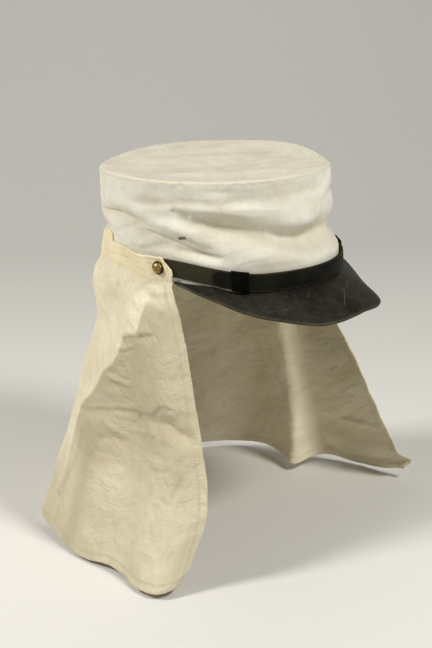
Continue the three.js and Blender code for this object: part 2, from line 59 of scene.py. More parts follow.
cap = {
    "headLength": 195, "headWidth": 159, "height": 84.4, "wall": 1.8,
    "rimLength": 190, "rimWidth": 166.5, "rimRound": 2.0,
    "widenFrom": 0.42, "widenTo": 0.85, "lean": 1.5, "tilt": 0.2,
    # Millimetres in a degree round the crown, for its cloth and its leather laid flat
    "clearance": 0.3, "degree": 1.56, "leatherDegree": 1.6,
}
halfLength = cap["headLength"] / 2 + cap["wall"]
halfWidth = cap["headWidth"] / 2 + cap["wall"]


def mix(a, b, share):
    return a + (b - a) * share


def ease(low, high, value):
    share = np.clip((value - low) / (high - low), 0, 1)
    return share * share * (3 - 2 * share)


def bump(value, centre, breadth):
    return np.exp(-((value - centre) / breadth) ** 2)


def unit(vectors):
    return vectors / np.maximum(np.linalg.norm(vectors, axis=-1, keepdims=True), 1e-9)


def oval(around, length, width, height=0.0):
    angle = np.radians(around)
    x, y, z = np.broadcast_arrays(-width * np.sin(angle), -length * np.cos(angle), height)
    return np.stack([x, y, z], axis=-1).astype(float)


def outward(around):
    angle = np.radians(around)
    x, y = -np.sin(angle) / halfWidth, -np.cos(angle) / halfLength
    return unit(np.stack([x, y, np.zeros_like(x)], axis=-1))


def besideCrown(around, offset, height):
    around, offset, height = np.broadcast_arrays(np.asarray(around, float), offset, height)
    return oval(around, halfLength, halfWidth, height) + outward(around) * offset[..., None]


# A smooth curve through points, the same as the one that the solids use
def throughPoints(points, share):
    points = np.array(points, float)
    points = np.vstack([2 * points[0] - points[1], points, 2 * points[-1] - points[-2]])
    spans = len(points) - 3
    at = np.clip(share, 0, 1) * spans
    first = np.minimum(at.astype(int), spans - 1)
    t = (at - first)[..., None]
    p0, p1, p2, p3 = (points[first + k] for k in range(4))

    def knot(a, b):
        return np.maximum(np.linalg.norm(b - a, axis=-1, keepdims=True) ** 0.5, 1e-4)

    d0, d1, d2 = knot(p0, p1), knot(p1, p2), knot(p2, p3)
    m1 = ((p1 - p0) / d0 - (p2 - p0) / (d0 + d1) + (p2 - p1) / d1) * d1
    m2 = ((p2 - p1) / d1 - (p3 - p1) / (d1 + d2) + (p3 - p2) / d2) * d1
    return ((2 * t**3 - 3 * t**2 + 1) * p1 + (t**3 - 2 * t**2 + t) * m1
            + (3 * t**2 - 2 * t**3) * p2 + (t**3 - t**2) * m2)


# A fold along a path on the flat cloth: "high" above the cloth, "wide" on the left of the
# path, which is its upper side, and "under" on the other. A lower power gives it a sharper
# top, and each end dies away over the share "fade". A fold with a "step" is cloth that laps
# over: one side stands above the other. "bend" bows a path of two points.
def foldRow(path, high, wide, under=None, power=2, fade=0.22, step=0, bend=0):
    return {"path": path, "high": high, "wide": wide, "under": under or wide, "power": power,
            "fade": fade, "step": step, "bend": bend}


def foldRelief(x, y, row):
    path = np.array(row["path"], float)
    reach = 2.6 * max(row["wide"], row["under"]) * (2 if row["power"] < 1.6 else 1)
    if row["bend"]:
        run = path[1] - path[0]
        side = np.array([-run[1], run[0]]) / np.hypot(*run)
        path = np.array([path[0], path.mean(axis=0) + side * row["bend"], path[1]])
    line = throughPoints(path, np.linspace(0, 1, 10 * (len(path) - 1) + 1))
    low, high = line.min(axis=0) - reach, line.max(axis=0) + reach
    near = (x > low[0]) & (x < high[0]) & (y > low[1]) & (y < high[1])
    relief = np.zeros_like(x)
    if not near.any():
        return relief
    px, py = x[near], y[near]
    runs = np.diff(line, axis=0)
    lengths = np.hypot(runs[:, 0], runs[:, 1])
    starts = np.concatenate([[0], np.cumsum(lengths)])
    best = np.full(px.shape, 1e9)
    side, gone = np.zeros_like(px), np.zeros_like(px)
    for (ax, ay), (rx, ry), length, start in zip(line[:-1], runs, lengths, starts):
        dx, dy = px - ax, py - ay
        t = np.clip((dx * rx + dy * ry) / length**2, 0, 1)
        away = np.hypot(dx - t * rx, dy - t * ry)
        closer = away < best
        best = np.where(closer, away, best)
        side = np.where(closer, rx * dy - ry * dx, side)
        gone = np.where(closer, (start + t * length) / starts[-1], gone)
    ends = ease(0, row["fade"], gone) * ease(0, row["fade"], 1 - gone)
    shape = np.exp(-(best / np.where(side > 0, row["wide"], row["under"])) ** row["power"])
    if row["step"]:
        shape = shape * np.tanh(np.sign(side) * best / row["step"])
    relief[near] = row["high"] * ends * shape
    return relief


def foldsRelief(x, y, rows):
    return sum(foldRelief(x, y, row) for row in rows)


# Soft unevenness of a typical size, longer along x by "stretch", made of seeded waves
def ripple(x, y, size, seed, stretch=1.0, waves=26):
    random = np.random.default_rng(seed)
    total = np.zeros_like(x)
    for _ in range(waves):
        turn, phase = random.uniform(0, 2 * math.pi, 2)
        pitch = 2 * math.pi / (size * random.uniform(0.6, 1.7))
        total += np.sin(x * math.cos(turn) * pitch / stretch + y * math.sin(turn) * pitch + phase)
    return total / math.sqrt(waves / 2)


# Fine creases where two fields of waves cross zero, as cloth that has been folded shows
def crumple(x, y, size, seed, stretch=1.0):
    field = ripple(x, y, size, seed, stretch)
    return np.exp(-np.abs(field) * 3.2) - 0.35


# The waves or creases of a table: how high each is, then its size, seed and stretch
def uneven(kind, x, y, rows):
    return sum(high * kind(x, y, *row) for high, *row in rows)


def gridNormals(grid, wraps):
    if wraps:
        across = np.roll(grid, -1, axis=0) - np.roll(grid, 1, axis=0)
    else:
        across = np.gradient(grid, axis=0)
    return unit(np.cross(across, np.gradient(grid, axis=1)))


def newPiece(name, points, faces, loopFlat, marks, material, node):
    mesh = bpy.data.meshes.new(name)
    mesh.from_pydata((points * mm).tolist(), [], faces)
    mesh.polygons.foreach_set("use_smooth", [True] * len(mesh.polygons))
    if loopFlat is not None:
        flat = mesh.uv_layers.new(name="cloth")
        flat.data.foreach_set("uv", (np.array(loopFlat, float) / 100).ravel())
    for mark, values in marks.items():
        layer = mesh.attributes.new(mark, "FLOAT", "POINT")
        layer.data.foreach_set("value", np.asarray(values, float).ravel())
    mesh.materials.append(material)
    mesh.update()
    piece = bpy.data.objects.new(name, mesh)
    bpy.context.scene.collection.objects.link(piece)
    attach(piece, "root")
    if node:
        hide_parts(node)
    return piece


# A closed wall behind an outer grid of columns and rows, with its edges rounded. "marks"
# are values on the outer grid that the finish reads, and "flat" is the cloth laid flat,
# with one more column where the wall goes all the way round.
def wallPiece(name, outer, thickness, flat, material, node, wraps=False, marks=None, turn=3):
    columns, rows = outer.shape[:2]
    thickness = np.broadcast_to(np.asarray(thickness, float), (columns, rows))[..., None]
    normals = gridNormals(outer, wraps)
    middle = outer - normals * thickness / 2
    inner = outer - normals * thickness
    along = unit(np.gradient(outer, axis=1))
    angles = [math.pi * (k + 1) / (turn + 1) for k in range(turn)]

    def edge(row, facing, flip):
        spots = [middle[:, row] + thickness[:, row] / 2 * (math.cos(a) * flip * normals[:, row]
                 + math.sin(a) * facing * along[:, row]) for a in angles]
        return np.stack(spots, axis=1)

    # The three columns of each rounded end have the values of the column beside them
    def withEnds(grid):
        return grid if wraps else np.concatenate([grid[:1]] * 3 + [grid] + [grid[-1:]] * 3)

    ring = np.concatenate([outer, edge(-1, 1, 1), inner[:, ::-1], edge(0, -1, -1)], axis=1)
    index = list(range(rows)) + [rows - 1] * turn + list(range(rows - 1, -1, -1)) + [0] * turn
    if not wraps:
        centre, half = middle[:, index], thickness[:, index] / 2
        ahead = unit(outer[:1] - outer[1:2])[:, index]
        behind = unit(outer[-1:] - outer[-2:-1])[:, index]
        turns = [math.radians(a) for a in (28, 55, 80)]
        first = [centre[:1] + (ring[:1] - centre[:1]) * math.cos(a) + ahead * half[:1] * math.sin(a)
                 for a in reversed(turns)]
        last = [centre[-1:] + (ring[-1:] - centre[-1:]) * math.cos(a) + behind * half[-1:] * math.sin(a)
                for a in turns]
        ring = np.concatenate([*first, ring, *last])
    flat = withEnds(flat[:, index])
    count, loop = ring.shape[:2]
    i, j = np.meshgrid(np.arange(count if wraps else count - 1), np.arange(loop), indexing="ij")
    nextI, nextJ = (i + 1) % count, (j + 1) % loop
    quads = np.stack([i * loop + j, nextI * loop + j, nextI * loop + nextJ, i * loop + nextJ], axis=-1)
    faces = quads.reshape(-1, 4).tolist()
    loopFlat = np.stack([flat[i, j], flat[i + 1, j], flat[i + 1, nextJ], flat[i, nextJ]], axis=2)
    loopFlat = loopFlat.reshape(-1, 2).tolist()
    if not wraps:
        for start, step in ((0, 1), ((count - 1) * loop, -1)):
            closing = [[start + k, start + k + 1, start + loop - turn - 2 - k, start + loop - turn - 1 - k]
                       for k in range(rows - 1)]
            closing.append([start + rows - 1 + k for k in range(turn + 2)])
            closing.append([start + loop - turn - 1 + k for k in range(turn + 1)] + [start])
            for face in closing:
                faces.append(face[::step])
                loopFlat += [list(flat[corner // loop, corner % loop]) for corner in face[::step]]
    values = {mark: withEnds(grid[:, index]) for mark, grid in (marks or {}).items()}
    return newPiece(name, ring.reshape(-1, 3), faces, loopFlat, values, material, node)


# A place and a direction out of a grid of places, at fractional columns and rows
def sampleGrid(grid, column, row):
    c = np.clip(column, 0, len(grid) - 1.001)
    r = np.clip(row, 0, grid.shape[1] - 1.001)
    c0, r0 = c.astype(int), r.astype(int)
    cs, rs = (c - c0)[..., None], (r - r0)[..., None]
    low, high = (mix(grid[c0, r], grid[c0 + 1, r], cs) for r in (r0, r0 + 1))
    return mix(low, high, rs)


# Columns that lie closer where a table of (share of the columns, place) pairs says so
def unevenSteps(count, stops):
    shares, places = zip(*stops)
    return np.interp(np.linspace(0, 1, count), shares, places)


# One socket of a material's nodes. Sums on wires add Math nodes.
class Wire:
    def __init__(self, finish, socket):
        self.finish = finish
        self.socket = socket

    def math(self, operation, a, b=0.0):
        return self.finish.node("ShaderNodeMath", {"operation": operation}, {0: a, 1: b})

    def __add__(self, other):
        return self.math("ADD", self, other)

    __radd__ = __add__

    def __sub__(self, other):
        return self.math("SUBTRACT", self, other)

    def __rsub__(self, other):
        return self.math("SUBTRACT", other, self)

    def __mul__(self, other):
        return self.math("MULTIPLY", self, other)

    __rmul__ = __mul__

    def __truediv__(self, other):
        return self.math("DIVIDE", self, other)

    def __pow__(self, other):
        return self.math("POWER", self, other)

    def __abs__(self):
        return self.math("ABSOLUTE", self)

    # From 0 to 1, smoothly, as the value goes from low to high
    def between(self, low, high):
        values = {"Value": self, "From Min": low, "From Max": high}
        return self.finish.node("ShaderNodeMapRange", {"interpolation_type": "SMOOTHSTEP"}, values)


# A material and the nodes that make it
class Finish:
    def __init__(self, name):
        self.material = bpy.data.materials.new(name)
        self.material.use_nodes = True
        self.nodes = self.material.node_tree.nodes
        self.links = self.material.node_tree.links
        self.nodes.clear()

    def node(self, kind, settings=None, values=None, output=0):
        made = self.nodes.new(kind)
        for key, value in (settings or {}).items():
            setattr(made, key, value)
        for key, value in (values or {}).items():
            if isinstance(value, Wire):
                self.links.new(value.socket, made.inputs[key])
            else:
                made.inputs[key].default_value = value
        return Wire(self, made.outputs[output])

    # The cloth or leather laid flat, in tenths of a metre
    def flat(self):
        return self.node("ShaderNodeUVMap", {"uv_map": "cloth"})

    def parts(self, vector):
        return [self.node("ShaderNodeSeparateXYZ", None, {0: vector}, part) for part in "XY"]

    def mark(self, name):
        return self.node("ShaderNodeAttribute", {"attribute_name": name}, {}, "Fac")

    def scaled(self, vector, scale):
        return self.node("ShaderNodeVectorMath", {"operation": "MULTIPLY"}, {0: vector, 1: scale})

    def noise(self, vector, scale, detail=2.0, rough=0.5, warp=0.0):
        values = {"Vector": vector, "Scale": scale, "Detail": detail, "Roughness": rough, "Distortion": warp}
        return self.node("ShaderNodeTexNoise", None, values, "Fac")

    def blend(self, factor, a, b):
        return self.node("ShaderNodeMix", {"data_type": "RGBA"}, {0: factor, 6: a, 7: b}, 2)

    def relief(self, height, distance, strength=1.0, under=None):
        values = {"Height": height, "Distance": distance, "Strength": strength}
        if under:
            values["Normal"] = under
        return self.node("ShaderNodeBump", None, values)

    def surface(self, values):
        shader = self.node("ShaderNodeBsdfPrincipled", None, values)
        made = self.nodes.new("ShaderNodeOutputMaterial")
        self.links.new(shader.socket, made.inputs["Surface"])
        return self.material


def tint(red, green, blue):
    def linear(value):
        value = value / 255
        return value / 12.92 if value <= 0.04045 else ((value + 0.055) / 1.055) ** 2.4
    return (linear(red), linear(green), linear(blue), 1.0)


# Cotton: crossing threads with slubs, a slow mottle, and a darker, warmer tone where the "hollow" mark says:
# painted shade in its hollows and creases, and on the band and the flap also darker seams
def cottonFinish(name, look, spots=None):
    cotton = Finish(name)
    flat = cotton.flat()
    fine = look["threads"]
    warp = cotton.noise(cotton.scaled(flat, (fine, fine / 14, 1)), 1.0, 1.5)
    weft = cotton.noise(cotton.scaled(flat, (fine / 14, fine, 1)), 1.0, 1.5)
    slub = (cotton.noise(cotton.scaled(flat, (3.2, 60, 1)), 1.0, 2.0)
            + cotton.noise(cotton.scaled(flat, (60, 3.2, 1)), 1.0, 2.0))
    mottle = cotton.noise(flat, 3.1, 3.0, 0.55)
    cloud = cotton.noise(flat, 11, 3.0, 0.6)
    hollow = cotton.mark("hollow")
    # Painted shade: the "hollow" mark blends the cloth towards its shade tone, by the weight in the look
    tone = mottle.between(0.38, 0.66) * 0.5 + cloud.between(0.35, 0.7) * 0.3 + hollow * look["paintedShade"]
    colour = cotton.blend(tone, look["colour"], look["shade"])
    thread = (warp + weft - 1.0) * look["contrast"] + (slub - 1.0) * look["slub"] + 0.5
    colour = cotton.blend(thread, cotton.blend(0.16, colour, (0.16, 0.13, 0.08, 1)), colour)
    grain = warp + weft + slub * 0.8
    folded = cotton.noise(cotton.scaled(flat, (4.2, 5.6, 1)), 1.0, 4.0, 0.55, 0.4)
    bent = cotton.relief(abs(folded - 0.5).between(0.0, 0.07), look["crease"] * mm)
    if spots:
        colour = spots(cotton, flat, colour)
    return cotton.surface({
        "Base Color": colour, "Roughness": 0.94, "Specular IOR Level": 0.25,
        "Sheen Weight": 0.12, "Sheen Roughness": 0.5,
        "Normal": cotton.relief(grain, look["depth"] * mm, 0.7, bent),
    })


# Leather, worn along "edge", with dull patches and fine scuffs
def leatherFinish(name, look, spots=None):
    leather = Finish(name)
    flat = leather.flat()
    grain = leather.noise(flat, 95, 3.0, 0.6)
    patch = leather.noise(flat, 4.5, 3.0, 0.6)
    scuff = leather.noise(leather.scaled(flat, (9, 42, 1)), 1.0, 4.0, 0.7).between(0.6, 0.74)
    colour = leather.blend(patch.between(0.36, 0.68), look["colour"], look["worn"])
    colour = leather.blend(scuff * look["scuffs"], colour, look["scuffColour"])
    colour = leather.blend(leather.mark("edge") * look["edge"], colour, look["edgeColour"])
    if spots:
        colour = spots(leather, flat, colour)
    rough = patch * 0.16 + scuff * 0.1 + look["rough"]
    return leather.surface({
        "Base Color": colour, "Roughness": rough, "Specular IOR Level": look["shine"],
        "Specular Tint": (1, 0.95, 0.84, 1),
        "Normal": leather.relief(grain + patch * 0.6, look["depth"] * mm, 0.6),
    })


# A straight mark on the flat cloth from one place to another, in tenths of a metre
def streak(finish, flat, start, end, breadth, rough=0.0):
    run = (end[0] - start[0], end[1] - start[1])
    length = math.hypot(*run)
    run = (run[0] / length, run[1] / length)
    x, y = (part - place for part, place in zip(finish.parts(flat), start))
    along = (x * run[0] + y * run[1]) / length
    away = abs(x * run[1] - y * run[0])
    if rough:
        away = away + (finish.noise(flat, 60, 3.0) - 0.5) * rough
    inside = along.between(-0.06, 0.12) * (1.0 - along.between(0.88, 1.06))
    return inside * (1.0 - away.between(breadth * 0.35, breadth))


# A closed turned or domed piece: columns round it, rows from its back to its front
def roundPiece(name, rings, flat, material, node, marks=None):
    columns, rows = rings.shape[:2]
    points = np.concatenate([rings.reshape(-1, 3), rings[:, :1].mean(axis=0), rings[:, -1:].mean(axis=0)])
    back, front = columns * rows, columns * rows + 1
    faces, loopFlat = [], []
    for i in range(columns):
        k = (i + 1) % columns
        for j in range(rows - 1):
            faces.append([i * rows + j, k * rows + j, k * rows + j + 1, i * rows + j + 1])
            loopFlat += [flat[i, j], flat[i + 1, j], flat[i + 1, j + 1], flat[i, j + 1]]
        faces.append([back, k * rows, i * rows])
        loopFlat += [flat[:, 0].mean(axis=0), flat[i + 1, 0], flat[i, 0]]
        faces.append([i * rows + rows - 1, k * rows + rows - 1, front])
        loopFlat += [flat[i, -1], flat[i + 1, -1], flat[:, -1].mean(axis=0)]
    values = {mark: np.concatenate([grid.ravel(), [grid[:, 0].mean(), grid[:, -1].mean()]])
              for mark, grid in (marks or {}).items()}
    return newPiece(name, points, faces, loopFlat, values, material, node)


# A piece turned about the line out of the cap, from pairs of radius and distance out
def turnedPiece(name, profile, around, height, material, node, marks, sides=48):
    radius, out = np.array(profile, float).T
    angle = np.linspace(0, 2 * math.pi, sides, endpoint=False)
    axis = outward(around)
    side = np.cross((0, 0, 1), axis)
    spoke = np.cos(angle)[:, None] * side + np.sin(angle)[:, None] * np.array([0, 0, 1])
    rings = spoke[:, None] * radius[None, :, None] + axis * out[None, :, None]
    rings = besideCrown(around, 0, height) + rings
    turn = np.append(angle, 2 * math.pi)[:, None]
    flat = np.stack([np.cos(turn) * radius, np.sin(turn) * radius], axis=-1)
    grids = {mark: np.tile(np.interp(out, *np.array(table).T), (sides, 1)) for mark, table in marks.items()}
    return roundPiece(name, rings, flat, material, node, grids)


# Small sunk stitches, one at each place
def stitchPiece(name, places, ahead, up, look, material):
    turns = np.linspace(0, 2 * math.pi, 6, endpoint=False)
    shares = np.array([-1, -0.72, 0, 0.72, 1])
    side = np.cross(up, ahead)
    spine = (places[:, None] + ahead[:, None] * (shares * look["long"] / 2)[None, :, None]
             + up[:, None] * (look["lift"] * (1 - 1.6 * shares**2))[None, :, None])
    radius = look["thick"] / 2 * np.array([0.45, 0.9, 1, 0.9, 0.45])
    rim = (np.cos(turns)[:, None] * side[:, None, None] + np.sin(turns)[:, None] * up[:, None, None])
    points = spine[:, :, None] + rim * radius[None, :, None, None]
    count, rings, sides = points.shape[:3]
    base = np.arange(count)[:, None, None] * rings * sides
    ring, turn = np.meshgrid(np.arange(rings - 1), np.arange(sides), indexing="ij")
    following = (turn + 1) % sides
    quads = np.stack([base + ring * sides + turn, base + ring * sides + following,
                      base + (ring + 1) * sides + following, base + (ring + 1) * sides + turn], axis=-1)
    faces = quads.reshape(-1, 4).tolist()
    for k in range(count):
        start = k * rings * sides
        faces.append([start + turn for turn in reversed(range(sides))])
        faces.append([start + (rings - 1) * sides + turn for turn in range(sides)])
    return newPiece(name, points.reshape(-1, 3), faces, None, {}, material, None)


# Evenly spaced places along a line of points that lie on a surface
def evenly(line, normals, spacing):
    gone = np.concatenate([[0], np.cumsum(np.linalg.norm(np.diff(line, axis=0), axis=1))])
    at = np.arange(spacing / 2, gone[-1], spacing)

    def read(values, where):
        return np.stack([np.interp(where, gone, values[:, k]) for k in range(3)], axis=-1)

    ahead = unit(read(line, at + 0.4) - read(line, at - 0.4))
    return read(line, at), ahead, unit(read(normals, at))


def threadFinish(name, colour):
    thread = Finish(name)
    twist = thread.noise(thread.node("ShaderNodeTexCoord", None, None, "Object"), 900, 2.0)
    shade = (*(0.82 * part for part in colour[:3]), 1)
    return thread.surface({"Base Color": thread.blend(twist, colour, shade), "Roughness": 0.85})


# Where the strap, the button and the band lie on the crown
strap = {
    "width": 12.4, "thick": 1.0, "front": 9.2, "riseFrom": 35, "tip": 58.5, "end": 90.4,
    "inner": 1.3, "outer": 2.6, "camber": 0.22,
    "colour": tint(11, 12, 7), "worn": tint(25, 25, 16), "scuffs": 0.3, "scuffColour": tint(62, 58, 42),
    "edge": 0.35, "edgeColour": tint(74, 60, 36), "rough": 0.46, "shine": 0.1, "depth": 0.12,
}
button = {"around": 83.4, "height": 19.4, "seat": 4.5}
band = {
    "width": 20, "thick": 1.6, "end": 77.2, "below": 2.6, "rise": 5.2, "riseTo": 108,
    "over": 2.6, "tab": 128.5, "tabLength": 34, "tabHeight": 5.6, "dip": 3.4,
    "threads": 150, "contrast": 0.5, "slub": 0.35, "paintedShade": 0.5, "depth": 0.16, "crease": 0.2,
    "colour": tint(247, 236, 203), "shade": tint(230, 213, 170),
    "waves": [(0.14, 12, 31, 2)], "crumples": [(0.06, 8, 32)],
}


# The cloth and the band's tab are pressed in towards the back: a wide hollow, and a dent
# above it that is sharper on its upper side
pressed = {"hollow": 2.1, "hollowAt": 137, "hollowReach": 26, "dent": 2.9, "dentHeight": 37}


def pressedIn(around, height):
    turn = fromFront(around)
    breadth = np.where(np.asarray(height) > pressed["dentHeight"], 5.5, 8)
    dent = ease(106, 126, turn) * (1 - ease(160, 188, turn)) * bump(height, pressed["dentHeight"], breadth)
    hollow = bump(turn, pressed["hollowAt"], pressed["hollowReach"])
    hollow = hollow * ease(10, 26, height) * (1 - ease(38, 50, height))
    return -pressed["hollow"] * hollow - pressed["dent"] * dent


def fromFront(around):
    return np.abs((np.asarray(around, float) + 180) % 360 - 180)


def strapHeight(around):
    return mix(strap["front"], button["height"], ease(strap["riseFrom"], button["around"], np.abs(around)))


def degreesPerMm(around):
    before, after = (oval(around + turn, halfLength, halfWidth) for turn in (-0.5, 0.5))
    return 1 / np.linalg.norm(after - before)


def bandHeight(around):
    rise = ease(button["around"], band["riseTo"], fromFront(around))
    return button["height"] - band["below"] + band["rise"] * rise


def bandTop(around):
    halfTab = band["tabLength"] / 2 * degreesPerMm(band["tab"])
    inTab = 1 - np.abs(fromFront(around) - band["tab"]) / halfTab
    dip = band["dip"] * ease(84, 98, fromFront(around))
    return bandHeight(around) + band["width"] / 2 - dip + band["tabHeight"] * ease(0, 0.5, inTab)


def bandOffset(around):
    return mix(band["over"], cap["clearance"], ease(strap["end"] + 2, strap["end"] + 14, fromFront(around)))


def trimTop(around):
    turn = fromFront(around)
    overStrap = np.where(turn < button["around"], strapHeight(turn) + strap["width"] / 2, 0)
    return np.maximum(overStrap, np.where(turn > band["end"], bandTop(turn), 0))


# The crown's cotton cover. Paths are pairs of "around" and height on the cap, from the
# photo's left to its right, with "wide" above the path and "under" below it.
cover = {
    "columns": 470, "rows": 78, "nearShare": 0.36, "thick": 1.6,
    "threads": 175, "contrast": 0.45, "slub": 0.3, "paintedShade": 0.6, "depth": 0.12, "crease": 0.12,
    "colour": tint(236, 233, 220), "shade": tint(222, 216, 194),
    "waves": [(0.26, 26, 3, 2.2), (0.13, 9, 4, 2)], "crumples": [(0.09, 14, 5, 1.6)],
    "folds": [
        foldRow([(80, 58.5), (60.6, 52.3), (49.5, 49), (37.8, 44.6), (25.5, 39.6), (10, 34.5), (-20, 33)],
                -7.6, 7.5, 8.5, fade=0.27),
        foldRow([(22, 42), (-80, 29)], -7.6, 10, 11, bend=2),
        foldRow([(34, 45.5), (20, 41), (8, 37.5), (-8, 34)], -4.2, 5, 9, fade=0.3),
        foldRow([(30, 54), (14, 49), (-4, 45)], 1.6, 5, 4, fade=0.35),
        foldRow([(76.6, 64.4), (54.3, 62.2), (38.8, 60.1), (21.3, 56.9), (8.5, 51.6), (-2.7, 44)], 1.5, 7,
                3.6),
        foldRow([(56, 69.6), (37.8, 68.5), (19.7, 69.5), (-9, 70.5)], -2, 6, 4),
        foldRow([(133.5, 52.4), (118, 54.9), (109, 56), (101, 53.9), (92.6, 47.5), (86.7, 44.4),
                (76.6, 40.1), (64.9, 33.7), (50, 27)], -3, 4.2, 8, fade=0.14),
        foldRow([(114.4, 61.3), (102.7, 61.3), (94.1, 58.5), (86.7, 52.8), (78.2, 49.6), (71.8, 45.4),
                (60, 36)], 1.7, 5.5, 3.6),
        foldRow([(-14, 64), (-60, 62)], -1.8, 5),
        foldRow([(128, 39), (84, 32)], 1.4, 7, bend=2),
        foldRow([(50, 25), (-22, 22)], 0.9, 9, 6, bend=2),
        foldRow([(80, 51), (58, 46)], 1.3, 5),
        foldRow([(-22, 80), (-2, 61)], 1.2, 4),
        foldRow([(-40, 61), (-104, 42)], -2.5, 7, bend=-4),
        foldRow([(-92, 66), (-150, 52)], -1.8, 6, bend=-2),
        foldRow([(-128, 40), (-176, 51)], -2.1, 6),
    ],
    "creases": [
        foldRow([(49.5, 63.3), (38.3, 62.2), (23.9, 60), (16.5, 60)], 0.45, 3, 2.2, power=1.2, step=0.7),
        foldRow([(30, 60.4), (22, 58.6), (13, 58.2)], 0.5, 0.9, 1.6),
        foldRow([(77, 62.8), (71.8, 61.2), (66.4, 58.1)], -1.7, 1.6, 3.4, power=1.3),
        foldRow([(133.5, 52.6), (118, 55), (109, 56), (101, 54), (95.7, 50.8)], 1.5, 4, 3, power=1.2,
                step=0.8),
        foldRow([(97, 51), (92.6, 46), (86.7, 44.4), (81.9, 42.3), (76.6, 40.1), (71.8, 37), (64.9, 32.7),
                (59, 30.6), (51, 27.8)], 1.9, 4, 3, power=1.2, step=0.8),
        foldRow([(84, 46.2), (78.5, 44.2), (74.4, 42.6)], 0.7, 2.2, 1.6, step=0.6),
        foldRow([(76, 42.4), (69, 42.9)], -0.9, 0.9, fade=0.4),
        foldRow([(113.3, 39.1), (102.7, 45.5), (95.2, 49.7)], -0.9, 1.6, 2.6, power=1.4),
        foldRow([(104.3, 29.6), (94.1, 30.7), (83, 35.9), (73.9, 38)], -1, 3),
        foldRow([(104.3, 67.7), (86.2, 66.6), (70.2, 68.6), (58.5, 67.5), (48.4, 65.4)], -1.3, 4, 3),
        foldRow([(48.9, 73.8), (49.5, 69.6)], 0.5, 0.9),
        foldRow([(-24, 79), (-25, 66)], 0.6, 1.5),
        foldRow([(-5.9, 73), (-3.7, 57.9), (-1, 50)], 0.5, 2.4, 1.2, power=1.3),
        foldRow([(66, 79), (40, 76), (10, 79)], -0.35, 1.6, 2.4),
        foldRow([(60, 55), (44, 51.5)], 0.4, 1.6, 1.2),
        foldRow([(40, 34), (12, 28)], 0.3, 2.4, 2),
    ],
}
# Where the rim stands off its oval: around, reach, how far out and how far up
rimBumps = [(160, 32, -0.5, -3.2), (-88, 26, 0.5, 1.2), (-52, 16, -0.7, -3.3), (-36, 11, -1.1, -1.3)]
rimAt = 0.965                               # share of the crown's side where the rim starts
rimTurn = math.radians(80)


def rimShift(around, column):
    return sum(row[column] * bump(fromFront(around - row[0]), 0, row[1]) for row in rimBumps)


def crownShape(around, share):
    level = np.minimum(share / rimAt, 1)
    roll = ease(rimAt, 1, share)
    widened = ease(cap["widenFrom"], cap["widenTo"], level)
    point = oval(around, mix(halfLength, cap["rimLength"] / 2, widened),
                 mix(halfWidth, cap["rimWidth"] / 2, widened))
    point[..., 1] += cap["lean"] * widened
    top = cap["height"] + math.tan(math.radians(cap["tilt"])) * point[..., 1] + rimShift(around, 3)
    point[..., 2] = level * (top - cap["rimRound"]) + cap["rimRound"] * np.sin(roll * rimTurn)
    out = rimShift(around, 2) * widened - cap["rimRound"] * (1 - np.cos(roll * rimTurn))
    return point + outward(around) * out[..., None]


def onCloth(rows):
    return [{**row, "path": [(-a * cap["degree"], z) for a, z in row["path"]]} for row in rows]


# Beside the peak's ends the cover's lower edge runs up behind the peak's root
def lowEdgeLift(around):
    turn = fromFront(around)
    return 7.6 * ease(48, 62, turn) * (1 - ease(84, 96, turn))


def buildCover():
    around = unevenSteps(cover["columns"] + 1, [(0, 335), (cover["nearShare"], 135), (1, -25)])
    rows = np.concatenate([np.linspace(0, rimAt, cover["rows"]), np.linspace(rimAt, 1, 11)[1:]])
    around, share = np.meshgrid(around[:-1], rows, indexing="ij")
    shape = crownShape(around, share)
    x, z = -around * cap["degree"], shape[..., 2]
    ends = ease(trimTop(around) + 1.5, trimTop(around) + 8, z) * (1 - ease(rimAt - 0.05, 1, share))
    turns = [k * 360 * cap["degree"] for k in (-1, 0, 1)]
    relief = sum(foldsRelief(x + turn, z, onCloth(cover["folds"])) for turn in turns)
    fine = foldsRelief(x, z, onCloth(cover["creases"]))
    fine += uneven(ripple, x, z, cover["waves"]) + uneven(crumple, x, z, cover["crumples"])
    pucker = ripple(x, z * 0.2, 7, 6) * bump(share, 0.965, 0.03) * 0.2
    underStrap = ease(54, 62, around) * ease(92, 84, around) * ease(-6.6, -8, z - strapHeight(around))
    total = (relief + fine) * ends + pucker * ease(0.88, 0.94, share)
    total += pressedIn(around, z) + 0.9 * underStrap
    shape[..., 2] += lowEdgeLift(around) * ease(14, 0, z)
    outer = shape + outward(around) * total[..., None]
    flat = np.stack([x, z], axis=-1)
    flat = np.concatenate([flat, flat[:1] - [360 * cap["degree"], 0]])
    # Painted shade: darker where the folds go in, and along the rim's roll so that it is no brighter than the
    # top and the side
    hollow = np.clip(-(fine + 0.5 * relief) * ends / 2, 0, 1) + 1.7 * ease(0.955, 0.975, share)
    finish = cottonFinish("coverCotton", cover, coverSpots)
    wallPiece("crownCover", outer, cover["thick"], flat, finish, "crown_side",
              wraps=True, marks={"hollow": hollow})


# A small brown worn spot in the fold, and a few faint stains
def coverSpots(finish, flat, colour):
    tear = streak(finish, flat, (-1.165, 0.415), (-1.09, 0.428), 0.017, 0.01)
    colour = finish.blend(tear * 0.85, colour, tint(92, 78, 52))
    stain = finish.noise(flat, 1.7, 2.0).between(0.58, 0.75)
    return finish.blend(stain * 0.16, colour, tint(206, 190, 150))


